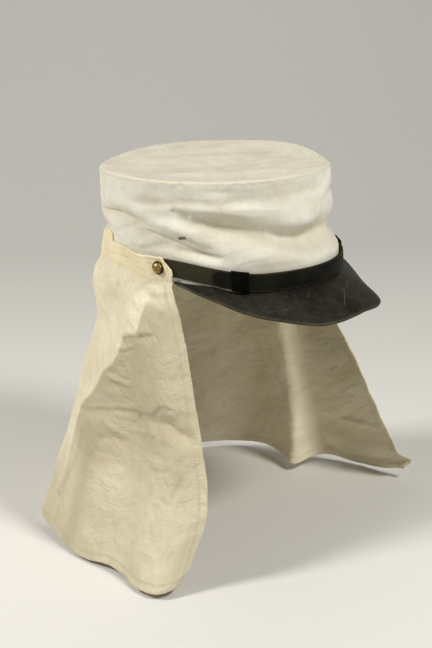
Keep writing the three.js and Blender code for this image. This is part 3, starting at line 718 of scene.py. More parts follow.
# The top panel sags inside the rim. The paths of its folds are shares of its half width
# and half length.
topPanel = {
    "columns": 300, "rows": 52, "thick": 1.6, "sag": 4.4, "fold": 2.4, "below": 0.1, "inset": 1.1,
    "threads": 175, "contrast": 0.45, "slub": 0.3, "paintedShade": 0.25, "depth": 0.12, "crease": 0.2,
    # The top's cotton is the cover's, painted darker as shade on the top
    "colour": tint(215, 210, 193), "shade": tint(197, 190, 166),
    "waves": [(0.3, 34, 11, 1.8), (0.09, 10, 12)], "crumples": [(0.07, 17, 13)],
    "folds": [
        foldRow([(-0.75, 0.45), (0.55, -0.5)], -0.8, 0.13, bend=-0.1),
        foldRow([(-0.6, 0.1), (0.2, -0.75)], 0.6, 0.09, bend=-0.05),
        foldRow([(-0.35, 0.75), (0.75, 0.1)], 0.7, 0.12, bend=-0.08),
        foldRow([(0.15, 0.7), (0.85, -0.15)], -0.6, 0.1, bend=-0.04),
        foldRow([(-0.02, 0.67), (0.12, 0.24), (0.03, 0.01), (0.06, -0.23), (0.18, -0.35), (-0.01, -0.73)],
                -0.42, 0.05, power=1.3),
        foldRow([(0.28, -0.23), (0.03, -0.71), (0.15, -0.82)], 0.36, 0.05, power=1.3),
        foldRow([(-0.71, 0.36), (-0.55, 0.27), (-0.53, -0.03)], -0.4, 0.05, power=1.3),
        foldRow([(-0.74, 0.15), (-0.49, -0.1), (-0.38, -0.54)], 0.36, 0.05, power=1.3),
        foldRow([(0.5, 0.8), (0.52, 0.65), (0.79, 0.39)], -0.4, 0.05, power=1.3),
        foldRow([(0.68, 0.37), (0.76, 0.02), (0.59, -0.49)], -0.36, 0.06, power=1.4),
        foldRow([(0.85, -0.05), (0.8, -0.3), (0.5, -0.7)], 0.3, 0.05, power=1.4),
    ],
}


def buildTop():
    around = np.linspace(360, 0, topPanel["columns"], endpoint=False)
    upper = np.linspace(1, 0.012, topPanel["rows"])
    halves = (cap["rimLength"] / 2 - topPanel["inset"], cap["rimWidth"] / 2 - topPanel["inset"])
    around, ring = np.meshgrid(around, upper, indexing="ij")
    point = oval(around, halves[0] * ring, halves[1] * ring)
    x, y = point[..., 0], point[..., 1]
    fold = foldsRelief(x / cap["rimWidth"] * 2, y / cap["rimLength"] * 2, topPanel["folds"])
    fold *= topPanel["fold"]
    fold += uneven(ripple, x, y, topPanel["waves"]) + uneven(crumple, x, y, topPanel["crumples"])
    spread = ease(0, 0.3, ring)
    puckers = ripple(around * 1.5 * spread, ring * 4, 6.5, 14) * bump(ring, 0.95, 0.07) * 0.3
    point = point + outward(around) * (rimShift(around, 2) * ring)[..., None]
    point[..., 1] += cap["lean"]
    rimTop = cap["height"] + math.tan(math.radians(cap["tilt"])) * point[..., 1]
    rimTop += rimShift(around, 3) * ring**2
    sag = topPanel["sag"] * (1 - ring**2) - 0.35 * bump(ring, 0.975, 0.02) + 0.35 * ease(0.985, 1, ring)
    point[..., 2] = rimTop - topPanel["below"] - sag + fold * (1 - ring**4) + puckers
    under = point[:, ::-1].copy()
    under[..., 2] -= topPanel["thick"]
    edge = 0.5 * (point[:, :1] + under[:, -1:]) + outward(around[:, :1]) * topPanel["thick"] * 0.4
    rings = np.concatenate([under, edge, point], axis=1)
    flat = rings[..., :2]
    flat = np.concatenate([flat, flat[:1]])
    # Painted shade: darker where the folds and puckers go in
    hollow = np.clip(-(fold + puckers), 0, 1)
    marks = {"hollow": np.concatenate([hollow[:, ::-1], hollow[:, :1], hollow], axis=1)}
    finish = cottonFinish("topCotton", topPanel)
    roundPiece("crownTopPanel", rings, flat, finish, "crown_top", marks)


# The peak, from its middle to its corner: share of the half angle, reach, drop and how far
# its root lies below the strap, as shares of "reach", "drop" and the strap's width
peak = {
    "reach": 35.9, "drop": 20, "forward": 0.6, "thick": 1.9, "columns": 190, "rows": 44, "camber": 0.9,
    "sections": [(0, 1, 0.79, 0), (0.26, 0.95, 0.94, 0), (0.52, 0.555, 0.7, 0), (0.66, 0.46, 0.43, 0.1),
                 (0.76, 0.4, 0.16, 0), (0.93, 0.28, -0.26, 0.14), (1, 0.1, -0.38, 0.17)],
    "colour": tint(22, 21, 16), "worn": tint(41, 39, 31), "scuffs": 0.55, "scuffColour": tint(88, 82, 64),
    "edge": 0.4, "edgeColour": tint(84, 78, 60), "rough": 0.42, "shine": 0.22, "depth": 0.24,
    # Both ends on the flat leather, breadth and strength
    "scratches": [((0.08, -0.127), (-0.096, -0.26), 0.005, 0.34), ((0.24, -0.09), (0.12, -0.13), 0.012, 0.18),
                  ((-0.2, -0.03), (-0.3, -0.11), 0.006, 0.16)],
}


# A column of a table at places between its rows, with no swing past the rows' own values
def readTable(rows, at, column):
    places, values = np.array(rows, float)[:, [0, column]].T
    slopes = np.diff(values) / np.diff(places)
    product = slopes[:-1] * slopes[1:]
    total = np.where(product > 0, slopes[:-1] + slopes[1:], 1)
    tangents = np.concatenate([slopes[:1], np.where(product > 0, 2 * product / total, 0), slopes[-1:]])
    k = np.clip(np.searchsorted(places, at, side="right") - 1, 0, len(places) - 2)
    span = places[k + 1] - places[k]
    t = np.clip((at - places[k]) / span, 0, 1)
    return ((2 * t**3 - 3 * t**2 + 1) * values[k] + (t**3 - 2 * t**2 + t) * span * tangents[k]
            + (3 * t**2 - 2 * t**3) * values[k + 1] + (t**3 - t**2) * span * tangents[k + 1])


def buildPeak():
    halfAngle = band["end"] - 0.9 * degreesPerMm(band["end"])
    around = np.linspace(-halfAngle, halfAngle, peak["columns"])
    around, share = np.meshgrid(around, np.linspace(0, 1, peak["rows"]), indexing="ij")
    place = np.abs(around) / halfAngle
    rootHeight = strapHeight(around) - strap["width"] * (0.5 + readTable(peak["sections"], place, 3)) - 1.6
    root = besideCrown(around, cap["clearance"] + peak["thick"] * 0.62, rootHeight)
    ahead = outward(around) * (1 - peak["forward"])
    ahead[..., 1] -= peak["forward"]
    reach = peak["reach"] * readTable(peak["sections"], place, 1)
    tip = root + unit(ahead) * reach[..., None]
    tip[..., 2] = -peak["drop"] * readTable(peak["sections"], place, 2)
    outer = mix(root, tip, share[..., None])
    fade = ease(0, 0.25, reach / peak["reach"])
    outer[..., 2] += peak["camber"] * 4 * share * (1 - share) * fade
    outer[..., 2] += 0.08 * ripple(outer[..., 0], outer[..., 1], 22, 21) * ease(0, 0.2, share)
    flat = np.stack([-around * cap["leatherDegree"], -share * reach], axis=-1)
    edge = ease(1.6, 0.2, (1 - share) * reach)
    finish = leatherFinish("peakLeather", peak, peakSpots)
    wallPiece("peakLeather", outer, peak["thick"], flat, finish, "peak",
              marks={"edge": edge}, turn=4)


# Old scratches and a small rusty mark on the peak
def peakSpots(finish, flat, colour):
    grain = finish.noise(finish.scaled(flat, (26, 40, 1)), 1.0, 5.0, 0.75)
    colour = finish.blend(grain.between(0.5, 0.72) * 0.5, colour, tint(58, 56, 48))
    colour = finish.blend(grain.between(0.5, 0.34) * 0.6, colour, tint(13, 12, 10))
    for start, end, breadth, strength in peak["scratches"]:
        scratch = streak(finish, flat, start, end, breadth, 0.004)
        colour = finish.blend(scratch * strength, colour, tint(108, 103, 84))
    rust = streak(finish, flat, (0.06, -0.255), (0.17, -0.25), 0.05, 0.05)
    return finish.blend(rust * 0.4, colour, tint(50, 41, 28))


# A strap along the crown with rounded tips. "offset" is its inner face's distance.
def strapPiece(name, fromAround, toAround, offset, finish, node, faded):
    half = strap["width"] / 2
    fromTip, toTip = (half * degreesPerMm(place) for place in (fromAround, toAround))
    rounded = 1 - np.cos(np.linspace(0.16, math.pi / 2, 12))
    around = np.concatenate([
        fromAround - fromTip * rounded,
        np.linspace(fromAround - fromTip, toAround + toTip, 170)[1:-1],
        (toAround + toTip * rounded)[::-1],
    ])
    around, share = np.meshgrid(around, np.linspace(-1, 1, 21), indexing="ij")
    gone = np.minimum(np.abs(around - fromAround) / fromTip, np.abs(around - toAround) / toTip)
    halfHere = half * np.sqrt(1 - (1 - np.clip(gone, 0, 1)) ** 2)
    out = offset(around) + strap["thick"] - strap["camber"] * share**2
    outer = besideCrown(around, out, strapHeight(around) + halfHere * share)
    flat = np.stack([-around * cap["leatherDegree"], halfHere * share], axis=-1)
    edge = ease(0.4, 0.02, halfHere * (1 - np.abs(share)))
    wallPiece(name, outer, strap["thick"] - 0.05, flat, finish, node,
              marks={"edge": edge, "faded": faded * ease(50, 62, around)})


# The strap has faded near the button
def strapSpots(finish, flat, colour):
    return finish.blend(finish.mark("faded") * 0.75, colour, tint(60, 57, 42))


# The left strap runs out over the right one, beyond its tip
def buildStraps():
    finish = leatherFinish("strapLeather", strap, strapSpots)
    beyond = -strap["tip"] - 2

    def inside(around):
        return np.full_like(around, strap["inner"])

    def outside(around):
        return mix(strap["inner"], strap["outer"], ease(beyond - 12, beyond, around))

    strapPiece("chinStrapRight", strap["end"], -strap["tip"], inside, finish, "chin_strap_right", 1)
    strapPiece("chinStrapLeft", strap["tip"], -strap["end"], outside, finish, "chin_strap_left", 0)


# The keeper loops round both straps
keeper = {
    "around": 46.5, "length": 12.5, "wall": 0.7, "room": 0.6,
    "colour": tint(6, 7, 5), "worn": tint(13, 14, 11), "scuffs": 0.3, "scuffColour": tint(34, 33, 27),
    "edge": 0.5, "edgeColour": tint(32, 29, 21), "rough": 0.75, "shine": 0.03, "depth": 0.14,
}


def buildLoops():
    finish = leatherFinish("loopLeather", keeper)
    corner = keeper["wall"] * 1.5
    halfHeight = strap["width"] / 2 + keeper["room"] + keeper["wall"]
    far = strap["outer"] + strap["thick"] + cap["clearance"] + keeper["wall"] - corner
    near = cap["clearance"] + corner
    section = []
    for out, up, start in ((far, 1, 0), (near, 1, 90), (near, -1, 180), (far, -1, 270)):
        middle = up * (halfHeight - corner)
        for turn in np.radians(start + np.linspace(0, 90, 7)):
            section.append((out + corner * math.cos(turn), middle + corner * math.sin(turn)))
        if start in (90, 270):
            towards = np.linspace(section[-1][1], -section[-1][1], 12)[1:-1]
            section += [(section[-1][0], height) for height in towards]
    section = np.array(section)
    for sign, side in ((1, "Right"), (-1, "Left")):
        middle = sign * keeper["around"]
        halfSpan = keeper["length"] / 2 * degreesPerMm(middle)
        around = np.linspace(middle - halfSpan, middle + halfSpan, 22)
        index, around = np.meshgrid(np.arange(len(section)), around, indexing="ij")
        outer = besideCrown(around, section[index, 0], strapHeight(around) + section[index, 1])
        wide = np.abs(around - middle) / halfSpan
        flat = np.stack([-around * cap["leatherDegree"], section[index, 1] + 3 * section[index, 0]], axis=-1)
        flat = np.concatenate([flat, flat[:1]])
        wallPiece("keeperLoop" + side, outer, keeper["wall"], flat, finish, "strap_loop_" + side.lower(),
                  wraps=True, marks={"edge": ease(0.93, 1, wide)}, turn=2)


# Plain domed brass buttons, dull in the step round the dome
brass = {"width": 10.4, "dome": 3.2, "rim": 1.1, "shank": 3, "foot": 7, "colour": tint(192, 164, 100),
         "dull": tint(66, 56, 32), "dark": tint(24, 21, 13)}


def buildButtons():
    finish = Finish("buttonBrass")
    flat, grime = finish.flat(), finish.mark("grime")
    worn = finish.noise(flat, 38, 3.0, 0.65).between(0.42, 0.58)
    fine = finish.noise(flat, 160, 3.0, 0.6)
    colour = finish.blend(worn * 0.6 + grime, brass["colour"], brass["dull"])
    metal = finish.surface({
        "Base Color": finish.blend(grime**2.0, colour, brass["dark"]), "Metallic": 1.0 - grime * 0.7,
        "Roughness": worn * 0.2 + grime * 0.3 + 0.34,
        "Normal": finish.relief(fine + worn, 0.08 * mm, 0.5),
    })
    half, foot, shank = brass["width"] / 2, brass["foot"] / 2, brass["shank"] / 2
    seat = button["seat"]
    rise = seat + brass["rim"]
    back = -cap["wall"] - cap["clearance"]
    behind = [(0.3, back - 1), (foot - 0.2, back - 1), (foot, back - 0.8), (foot, back - 0.2),
              (foot - 0.2, back), (shank, back), (shank, seat)]
    rim = [(half - 0.35, seat), (half - 0.1, seat + 0.1), (half, seat + 0.35), (half, seat + 0.7),
           (half - 0.12, seat + 0.98), (half - 0.4, rise + 0.02), (half - 0.75, rise - 0.12),
           (half - 0.95, rise - 0.1)]
    dome = [((half - 1.0) * math.cos(a), rise - 0.1 + (brass["dome"] + 0.1) * math.sin(a))
            for a in np.linspace(0.05, 1.53, 16)]
    grimy = [(back - 1, 0.8), (seat, 0.8), (seat + 0.6, 0.4), (rise - 0.1, 0.8), (rise + 0.6, 0.3),
             (rise + 2.4, 0.05)]
    for sign, side in ((1, "Right"), (-1, "Left")):
        turnedPiece("button" + side, behind + rim + dome, sign * button["around"], button["height"],
                    metal, "button_" + side.lower(), {"grime": grimy})


# The doubled band that buttons the flap on, with its small tab and eyelet on each side
bandFolds = [
    foldRow([(127, 19.5), (115.6, 20.4), (103.5, 21.2), (94, 19.5)], -0.7, 0.8, 1.6),
    foldRow([(112, 31), (100, 29), (88, 25)], 0.4, 2.5, 2),
    foldRow([(95, 20), (88, 14), (84, 8)], 0.5, 2),
    foldRow([(130, 33), (118, 26)], 0.4, 2),
    foldRow([(80.5, 29), (81, 22), (79.5, 16)], 0.7, 1.4, 1.6),
    foldRow([(88.5, 23), (87, 18), (84, 12)], -0.5, 1.2, 1.4),
]
# How far the band's worn end stands back from straight, in degrees at shares of its height
bandEnd = [(0, 0.6), (0.2, 0.5), (0.42, -0.3), (0.6, 0.1), (0.74, 1.9), (0.87, 3.9), (1, 4.9)]


def buildBand():
    around = unevenSteps(430, [(0, 360 - band["end"]), (0.42, 140), (1, band["end"])])
    around, share = np.meshgrid(around, np.linspace(0, 1, 40), indexing="ij")
    back = np.interp(share, *zip(*bandEnd))
    around = around + back * (ease(14, 0, around - band["end"]) - ease(14, 0, 360 - band["end"] - around))
    low = bandHeight(around) - band["width"] / 2
    height = mix(low, bandTop(around), share)
    x = -around * cap["degree"]
    relief = foldsRelief(x, height, onCloth(bandFolds)) + uneven(ripple, x, height, band["waves"])
    relief += uneven(crumple, x, height, band["crumples"])
    fromTop, fromLow = bandTop(around) - height, height - low
    fromEnd = np.minimum(around - band["end"], 360 - band["end"] - around) - back
    fromEnd = fromEnd / degreesPerMm(band["end"])
    seams = 0.3 * bump(fromTop, 2.0, 0.7) + 0.3 * bump(fromLow, 2.0, 0.7) + 0.35 * bump(fromEnd, 2.2, 0.8)
    lifted = 1.3 * ease(7, 0, fromEnd) * bump(share, 0.5, 0.3)
    out = bandOffset(around) + band["thick"] + relief * ease(0, 1.5, np.minimum(fromTop, fromLow))
    out = out - seams + lifted + pressedIn(around, height)
    height = height + 0.25 * ripple(x, 0 * x, 9, 33)
    outer = besideCrown(around, out, height)
    flat = np.stack([x, height], axis=-1)
    # Darker along the stitched edges and the end, and painted shade where the band's folds go in
    hollow = np.clip(seams * 1.6 - relief * 0.6, 0, 1)
    wallPiece("flapBand", outer, band["thick"] - 0.1, flat, cottonFinish("bandCotton", band), "flap_band",
              marks={"hollow": hollow})


# A ring of thread round a small pit in each tab
def buildEyelets():
    pit = Finish("eyeletThread")
    # The pit's floor is painted near black, as the shade inside the eyelet's hole
    tone = pit.blend(pit.mark("pit"), tint(200, 180, 132), tint(34, 28, 18))
    thread = pit.surface({"Base Color": tone, "Roughness": 0.9})
    around, height = band["tab"] - 1.5, bandTop(band["tab"]) - 3.4
    sunk = pressedIn(around, height)
    ring = [(1.9, 1.3), (1.7, 1.6), (1.45, 1.85), (1.15, 1.85), (0.9, 1.55), (0.75, 1.15), (0.55, 0.95),
            (0.15, 0.9)]
    profile = [(radius, out + sunk) for radius, out in [(0.15, 0.5), (1.7, 0.5), *ring]]
    shaded = [(0.5 + sunk, 1), (1.6 + sunk, 1), (1.8 + sunk, 0)]
    for sign, side in ((1, "Right"), (-1, "Left")):
        turnedPiece("eyelet" + side, profile, sign * around, height, thread, None,
                    {"pit": shaded})


# The neck flap. "runs" are the straight runs of cloth from the band to the hem: the place
# on the band, the foot as shares of the half width, the half length and the drop, and the
# bow on the way as shares of the drop. "folds" are in shares across and down, "creases" in
# percent, and "nudges" are a place and a reach in shares and a move in millimetres.
flap = {
    "halfWidth": 160, "halfLength": 140, "drop": 212, "fold": 6, "columns": 320, "rows": 128, "thick": 0.8,
    "hem": 6.5, "hemThick": 0.7, "seamIn": 1.2, "creaseHeight": 1.35,
    "stitch": {"long": 1.7, "thick": 0.34, "lift": 0.14}, "stitchEvery": 2.6, "thread": tint(212, 198, 160),
    "threads": 150, "contrast": 0.6, "slub": 0.45, "paintedShade": 0.6, "depth": 0.19, "crease": 0.24,
    "colour": tint(243, 234, 205), "shade": tint(224, 213, 181), "paintedShadeColour": tint(189, 178, 149),
    "waves": [(0.25, 42, 41, 1.3), (0.16, 13, 42)], "crumples": [(0.42, 16, 43), (0.2, 8, 44)],
    "runs": [
        (78, -0.84, -0.43, 0.98, 0.04, -0.115), (80.5, -0.925, -0.47, 0.985, 0.025, -0.06),
        (83.5, -0.995, -0.43, 0.99, 0.02, -0.025), (87, -0.995, -0.28, 0.995, 0.01, 0),
        (91, -0.94, -0.13, 0.995, 0.01, 0), (95.5, -0.9, 0.04, 0.995, 0, 0),
        (101, -0.885, 0.21, 1.02, -0.01, 0), (108, -0.83, 0.41, 1.035, -0.01, 0),
        (116, -0.75, 0.62, 1.015, 0, -0.01), (126, -0.68, 0.795, 0.995, 0, -0.01),
        (140, -0.51, 0.865, 1, 0.02, -0.02), (153, -0.31, 0.94, 1.01, 0.01, -0.02),
        (167, -0.13, 1, 1.02, 0, -0.02), (180, 0.03, 0.955, 1.02, 0, -0.02),
        (193, 0.2, 0.98, 1.02, 0, -0.02), (207, 0.38, 0.95, 1.015, 0, -0.02),
        (221, 0.55, 0.83, 1.01, -0.02, -0.02), (234, 0.69, 0.64, 1.005, -0.02, 0),
        (245, 0.75, 0.42, 1, -0.01, 0), (253, 0.68, 0.2, 1, 0.01, 0),
        (259, 0.6, 0.045, 1, 0.045, 0), (264, 0.73, 0.005, 0.985, 0.01, 0),
        (267, 0.815, -0.05, 0.985, 0, 0), (271, 0.86, -0.19, 1, -0.02, 0),
        (276, 0.865, -0.38, 0.995, -0.03, -0.01), (282, 0.84, -0.62, 0.985, -0.035, -0.025),
    ],
    "folds": [
        foldRow([(0.285, 0.46), (0.25, 0.34), (0.2, 0.15), (0.16, 0.02)], 0.9, 0.09, 0.15, power=1.5,
                fade=0.3),
        foldRow([(0.315, 0.92), (0.31, 0.6), (0.28, 0.4)], 0.35, 0.07, 0.12, power=1.5),
        foldRow([(0.52, 0.07), (0.28, 0.1)], 0.72, 0.075),
        foldRow([(0.54, 0.2), (0.24, 0.22)], -0.9, 0.12, bend=-0.03),
        foldRow([(0.6, 0.5), (0.3, 0.54)], -0.5, 0.16),
        foldRow([(0.29, 0.5), (-0.06, 0.53)], -1.7, 0.24, 0.4, fade=0.3),
        foldRow([(0.03, 0.57), (0.34, 0.5)], 0.3, 0.09, bend=0.06),
        foldRow([(0.62, 0.12), (0.56, 0.98)], 0.35, 0.12, bend=-0.06),
        foldRow([(0.7, 0.1), (0.7, 0.98)], -0.3, 0.12, bend=-0.06),
    ],
    # How far the near front edge stands forward at shares of the drop
    "edgePull": [(0, 0), (0.05, 1.9), (0.09, 4.2), (0.15, 5.4), (0.21, 6.5), (0.3, 6), (0.38, 4.6),
                 (0.45, 3.3), (0.51, 1.9), (0.58, 0), (0.65, -0.2), (0.72, -0.4), (0.85, 0.2), (0.95, 1),
                 (1, 1.8)],
    "nudges": [
        ((0.47, 0.66), (0.1, 0.09), (1.6, -1.9, 0)), ((0.3, 1.0), (0.035, 0.1), (0, 0, 3)),
        ((0.0, 0.97), (0.04, 0.07), (0.6, -0.7, -1.8)), ((1.0, 0.33), (0.05, 0.12), (-1.8, 2.2, 0)),
        ((1.0, 0.945), (0.03, 0.028), (5, -6, 2)), ((1.0, 1.0), (0.022, 0.022), (-1.6, 1.9, 4.5)),
        ((0.17, 1.0), (0.06, 0.1), (0, 0, -2.2)),
    ],
    # The edge of the front panel, which is painted in shade: how far down, and how far across there, in
    # percent
    "panel": [(-3, 14), (4.7, 13.8), (8.7, 15.3), (13.4, 16.3), (18.9, 17.1), (20, 19.6), (21.3, 22.1),
              (26, 22.3), (30.7, 23.8), (34.6, 26.3), (39.4, 27.6), (47.2, 29.8), (51.2, 31.1), (60, 31.6),
              (80, 31.8), (104, 33)],
    "creases": [
        foldRow([(32.9, 89), (32.6, 81.1), (31.8, 73.2), (31.6, 67.7), (31.8, 62.2), (31.3, 55.9),
                (31.1, 51.2), (29.8, 47.2), (27.6, 39.4), (26.3, 34.6), (23.8, 30.7), (22.3, 26),
                (22.1, 21.3)], 1.9, 5, 4, power=1.2, fade=0.06),
        foldRow([(17.3, 19.5), (16.3, 13.4), (15.3, 8.7), (13.8, 4.7)], 1.1, 5, 3, power=1.3),
        foldRow([(23.5, 21.8), (19.6, 19.7), (17.1, 18.9), (12.5, 17.3), (9, 16.5)], 1.2, 4, 2.6,
                power=1.2, step=1),
        foldRow([(23.5, 26.4), (20.3, 25.2), (18.1, 23.6)], 0.8, 3, 2, step=0.8),
        foldRow([(26.3, 34.6), (23.8, 33.9), (22.1, 34.6)], -0.9, 1.6, 2, power=1.3),
        foldRow([(25.4, 35.4), (22.3, 37), (20.6, 37.8), (18.6, 37)], 0.9, 1.8, 1.4, power=1.3),
        foldRow([(27.4, 38.6), (23.8, 37.8), (21.3, 39.4)], -0.9, 1.8, 2, power=1.3),
        foldRow([(30.5, 47.8), (27.1, 45.7), (25.1, 44.1)], 0.8, 2, 1.6, step=0.8),
        foldRow([(31.8, 52), (26.6, 48), (23.3, 47.2), (18.8, 47.2), (17.1, 47.2), (14.3, 45.7),
                (13.3, 44.1), (11, 42.5), (8.8, 41.7), (6.8, 42.5), (4.3, 44.1)], 0.9, 4, 2.4, power=1.2,
                fade=0.1, step=0.8),
        foldRow([(24.3, 50.4), (22.1, 52.8), (20.3, 54.3), (18.3, 54.3), (15.5, 53.5), (12, 52),
                (10.8, 50.4)], 0.8, 3.4, 2, power=1.2, step=0.8),
        foldRow([(18.8, 49), (14.8, 48), (9.5, 48), (8, 48.6), (6.5, 50.2), (4.5, 51.6), (0, 53.6)], -2,
                4.4, 2.6, power=1.2, fade=0.08),
        foldRow([(16, 48.6), (9.5, 48.2), (6.5, 50.4), (-2, 54)], -2, 14, 6, fade=0.2),
        foldRow([(11, 50.2), (7.6, 52.2), (4.5, 54), (0, 56)], 1, 2, 4.4, power=1.3),
        foldRow([(25.8, 51.2), (23.3, 53.5), (21.3, 55.1), (19.8, 55.9), (18.1, 57.5)], 1.1, 2.4, 2,
                power=1.2),
        foldRow([(26.3, 58.3), (23.8, 57.5), (21.8, 57.5), (20.6, 58.3), (19.3, 57.5)], -0.9, 1.8, 2.4,
                power=1.3),
        foldRow([(32.6, 90), (32.1, 84.3), (31.3, 77.2), (29.8, 69.3), (29.1, 63), (29.3, 58.3),
                (29.8, 54.3)], 1.2, 5, fade=0.1, step=1.6),
        foldRow([(17.1, 36.2), (14.3, 38.6), (11.5, 39.4)], -0.5, 1.2, 1.4),
        foldRow([(14.5, 40.2), (11.8, 40.9), (9.5, 41.7)], -0.5, 1.2, 1.4),
        foldRow([(22.3, 29.9), (20.8, 32.3)], -0.6, 1.2, 1.4),
        foldRow([(23.1, 34.6), (21.1, 36.2), (19.3, 37)], -0.5, 1.2, 1.4),
        foldRow([(18.1, 39.4), (15, 40.2), (12.8, 40.2)], -0.5, 1.2, 1.4),
        foldRow([(24.8, 48), (21.6, 49.6), (17.6, 49.6)], 0.6, 1.6),
        foldRow([(10.5, 70.9), (9.5, 72.4), (8, 73.2), (7, 72.4)], -0.6, 1.4, 1.8),
        foldRow([(18.6, 80.3), (18.8, 83.5), (20.1, 86.6)], 0.5, 1.6),
        foldRow([(4.5, 64.6), (5.5, 66.9), (6.8, 70.1), (8, 72.4)], -0.9, 2.4, 3),
        foldRow([(32.4, 22), (29.8, 24.4), (26.3, 26)], -0.6, 1.2, 1.6),
        foldRow([(28.3, 4.7), (28.3, 8.7), (26.1, 10.2)], -0.9, 2, 2.6, power=1.4),
        foldRow([(25.8, 3.1), (20.1, 2.4)], -0.6, 1.4, 2),
        foldRow([(15, 5.5), (10.5, 4.7), (3.3, 3.9)], -0.7, 1.6, 2.2),
        foldRow([(18.1, 59.1), (13.5, 58.3), (9, 58.3), (5.3, 59.8)], -0.5, 1.8, 2.4),
        foldRow([(13.5, 63), (9.8, 63), (7.5, 61.4)], -0.5, 1.8, 2.2),
        foldRow([(18.3, 58), (17.5, 72), (20, 87)], 0.5, 2.2, 1.2, power=1.4),
        foldRow([(92, 79), (95, 79), (100, 78.5)], -1.2, 3, 2),
        foldRow([(86, 90), (90, 97), (98, 95)], 1.2, 3),
    ],
}


# The flap as it hangs from the band, before its folds
def hangFlap(across, down):
    runs = np.array(flap["runs"], float)
    turns = runs[:, 0]
    top = besideCrown(turns, bandOffset(turns) + band["thick"],
                      bandHeight(turns) - band["width"] / 2 - cap["clearance"])
    hem = runs[:, 1:4] * [flap["halfWidth"], flap["halfLength"], -flap["drop"]]
    bows = np.column_stack([runs[:, 4:] * flap["drop"], 0 * turns])
    seam, foot, bow = (throughPoints(places, across)[:, None] for places in (top, hem, bows))
    foot = foot + seam * [0, 0, 1]
    down = down[None, :, None]
    lay = mix(seam, foot, down) + bow * np.sin(math.pi * down**2)
    pull = np.interp(down, *zip(*flap["edgePull"])) * ease(0.11, 0, across)[:, None, None]
    lay = lay + pull * [0.62, -0.78, 0]
    for place, reach, move in flap["nudges"]:
        share = bump(across, place[0], reach[0])[:, None, None]
        lay = lay + share * bump(down, place[1], reach[1]) * move
    return lay


# How much painted shade the flap has at shares across and down: most on the front panel, with a band beside
# the strip's edge, a few patches, and bands on the far panel's inside
def flapPaintedShade(share, level):
    panel = np.interp(level * 100, *zip(*flap["panel"])) / 100
    paintedShade = ease(panel + 0.002, panel - 0.006, share)
    paintedShade *= 0.7 + 0.3 * ease(panel - 0.26, panel - 0.03, share)
    paintedShade *= ease(0.02, 0.12, level) * (1 - 0.6 * ease(0.56, 0.72, level))
    paintedShade += 0.45 * bump(share, 0.06, 0.05) * bump(level, 0.66, 0.08)
    paintedShade += 0.45 * bump(share, panel - 0.045, 0.018) * ease(0.5, 0.6, level)
    paintedShade += 0.6 * ease(0.3, 0.34, share) * ease(0.42, 0.38, share) * ease(0.7, 0.82, level)
    paintedShade += 0.5 * bump(share, 0.12, 0.06) * bump(level, 0.5, 0.06)
    return paintedShade + ease(0.86, 0.93, share) * (0.8 * bump(level, 0.4, 0.17) + 0.5 * bump(level, 0.87, 0.06))


# Stitches along the hem and up both sides. "width" is how far across each place lies.
def sewFlap(outer, width, rows):
    inset = flap["hem"] - flap["seamIn"]
    normals = gridNormals(outer, False)
    columns, lower = np.arange(len(outer)), np.arange(3, len(rows))
    hemRow = np.interp(1 - inset / flap["drop"], rows, np.arange(len(rows)))
    near = [np.interp(inset, width[:, row], columns) for row in lower]
    far = [np.interp(inset, (width[-1, row] - width[:, row])[::-1], columns[::-1]) for row in lower]
    paths = ((columns, np.full(len(outer), hemRow)), (np.array(near), lower), (np.array(far), lower))
    seams = [evenly(sampleGrid(outer, *path), sampleGrid(normals, *path), flap["stitchEvery"])
             for path in paths]
    places, ahead, up = (np.concatenate(values) for values in zip(*seams))
    return stitchPiece("flapStitches", places, ahead, up, flap["stitch"],
                       threadFinish("flapThread", flap["thread"]))


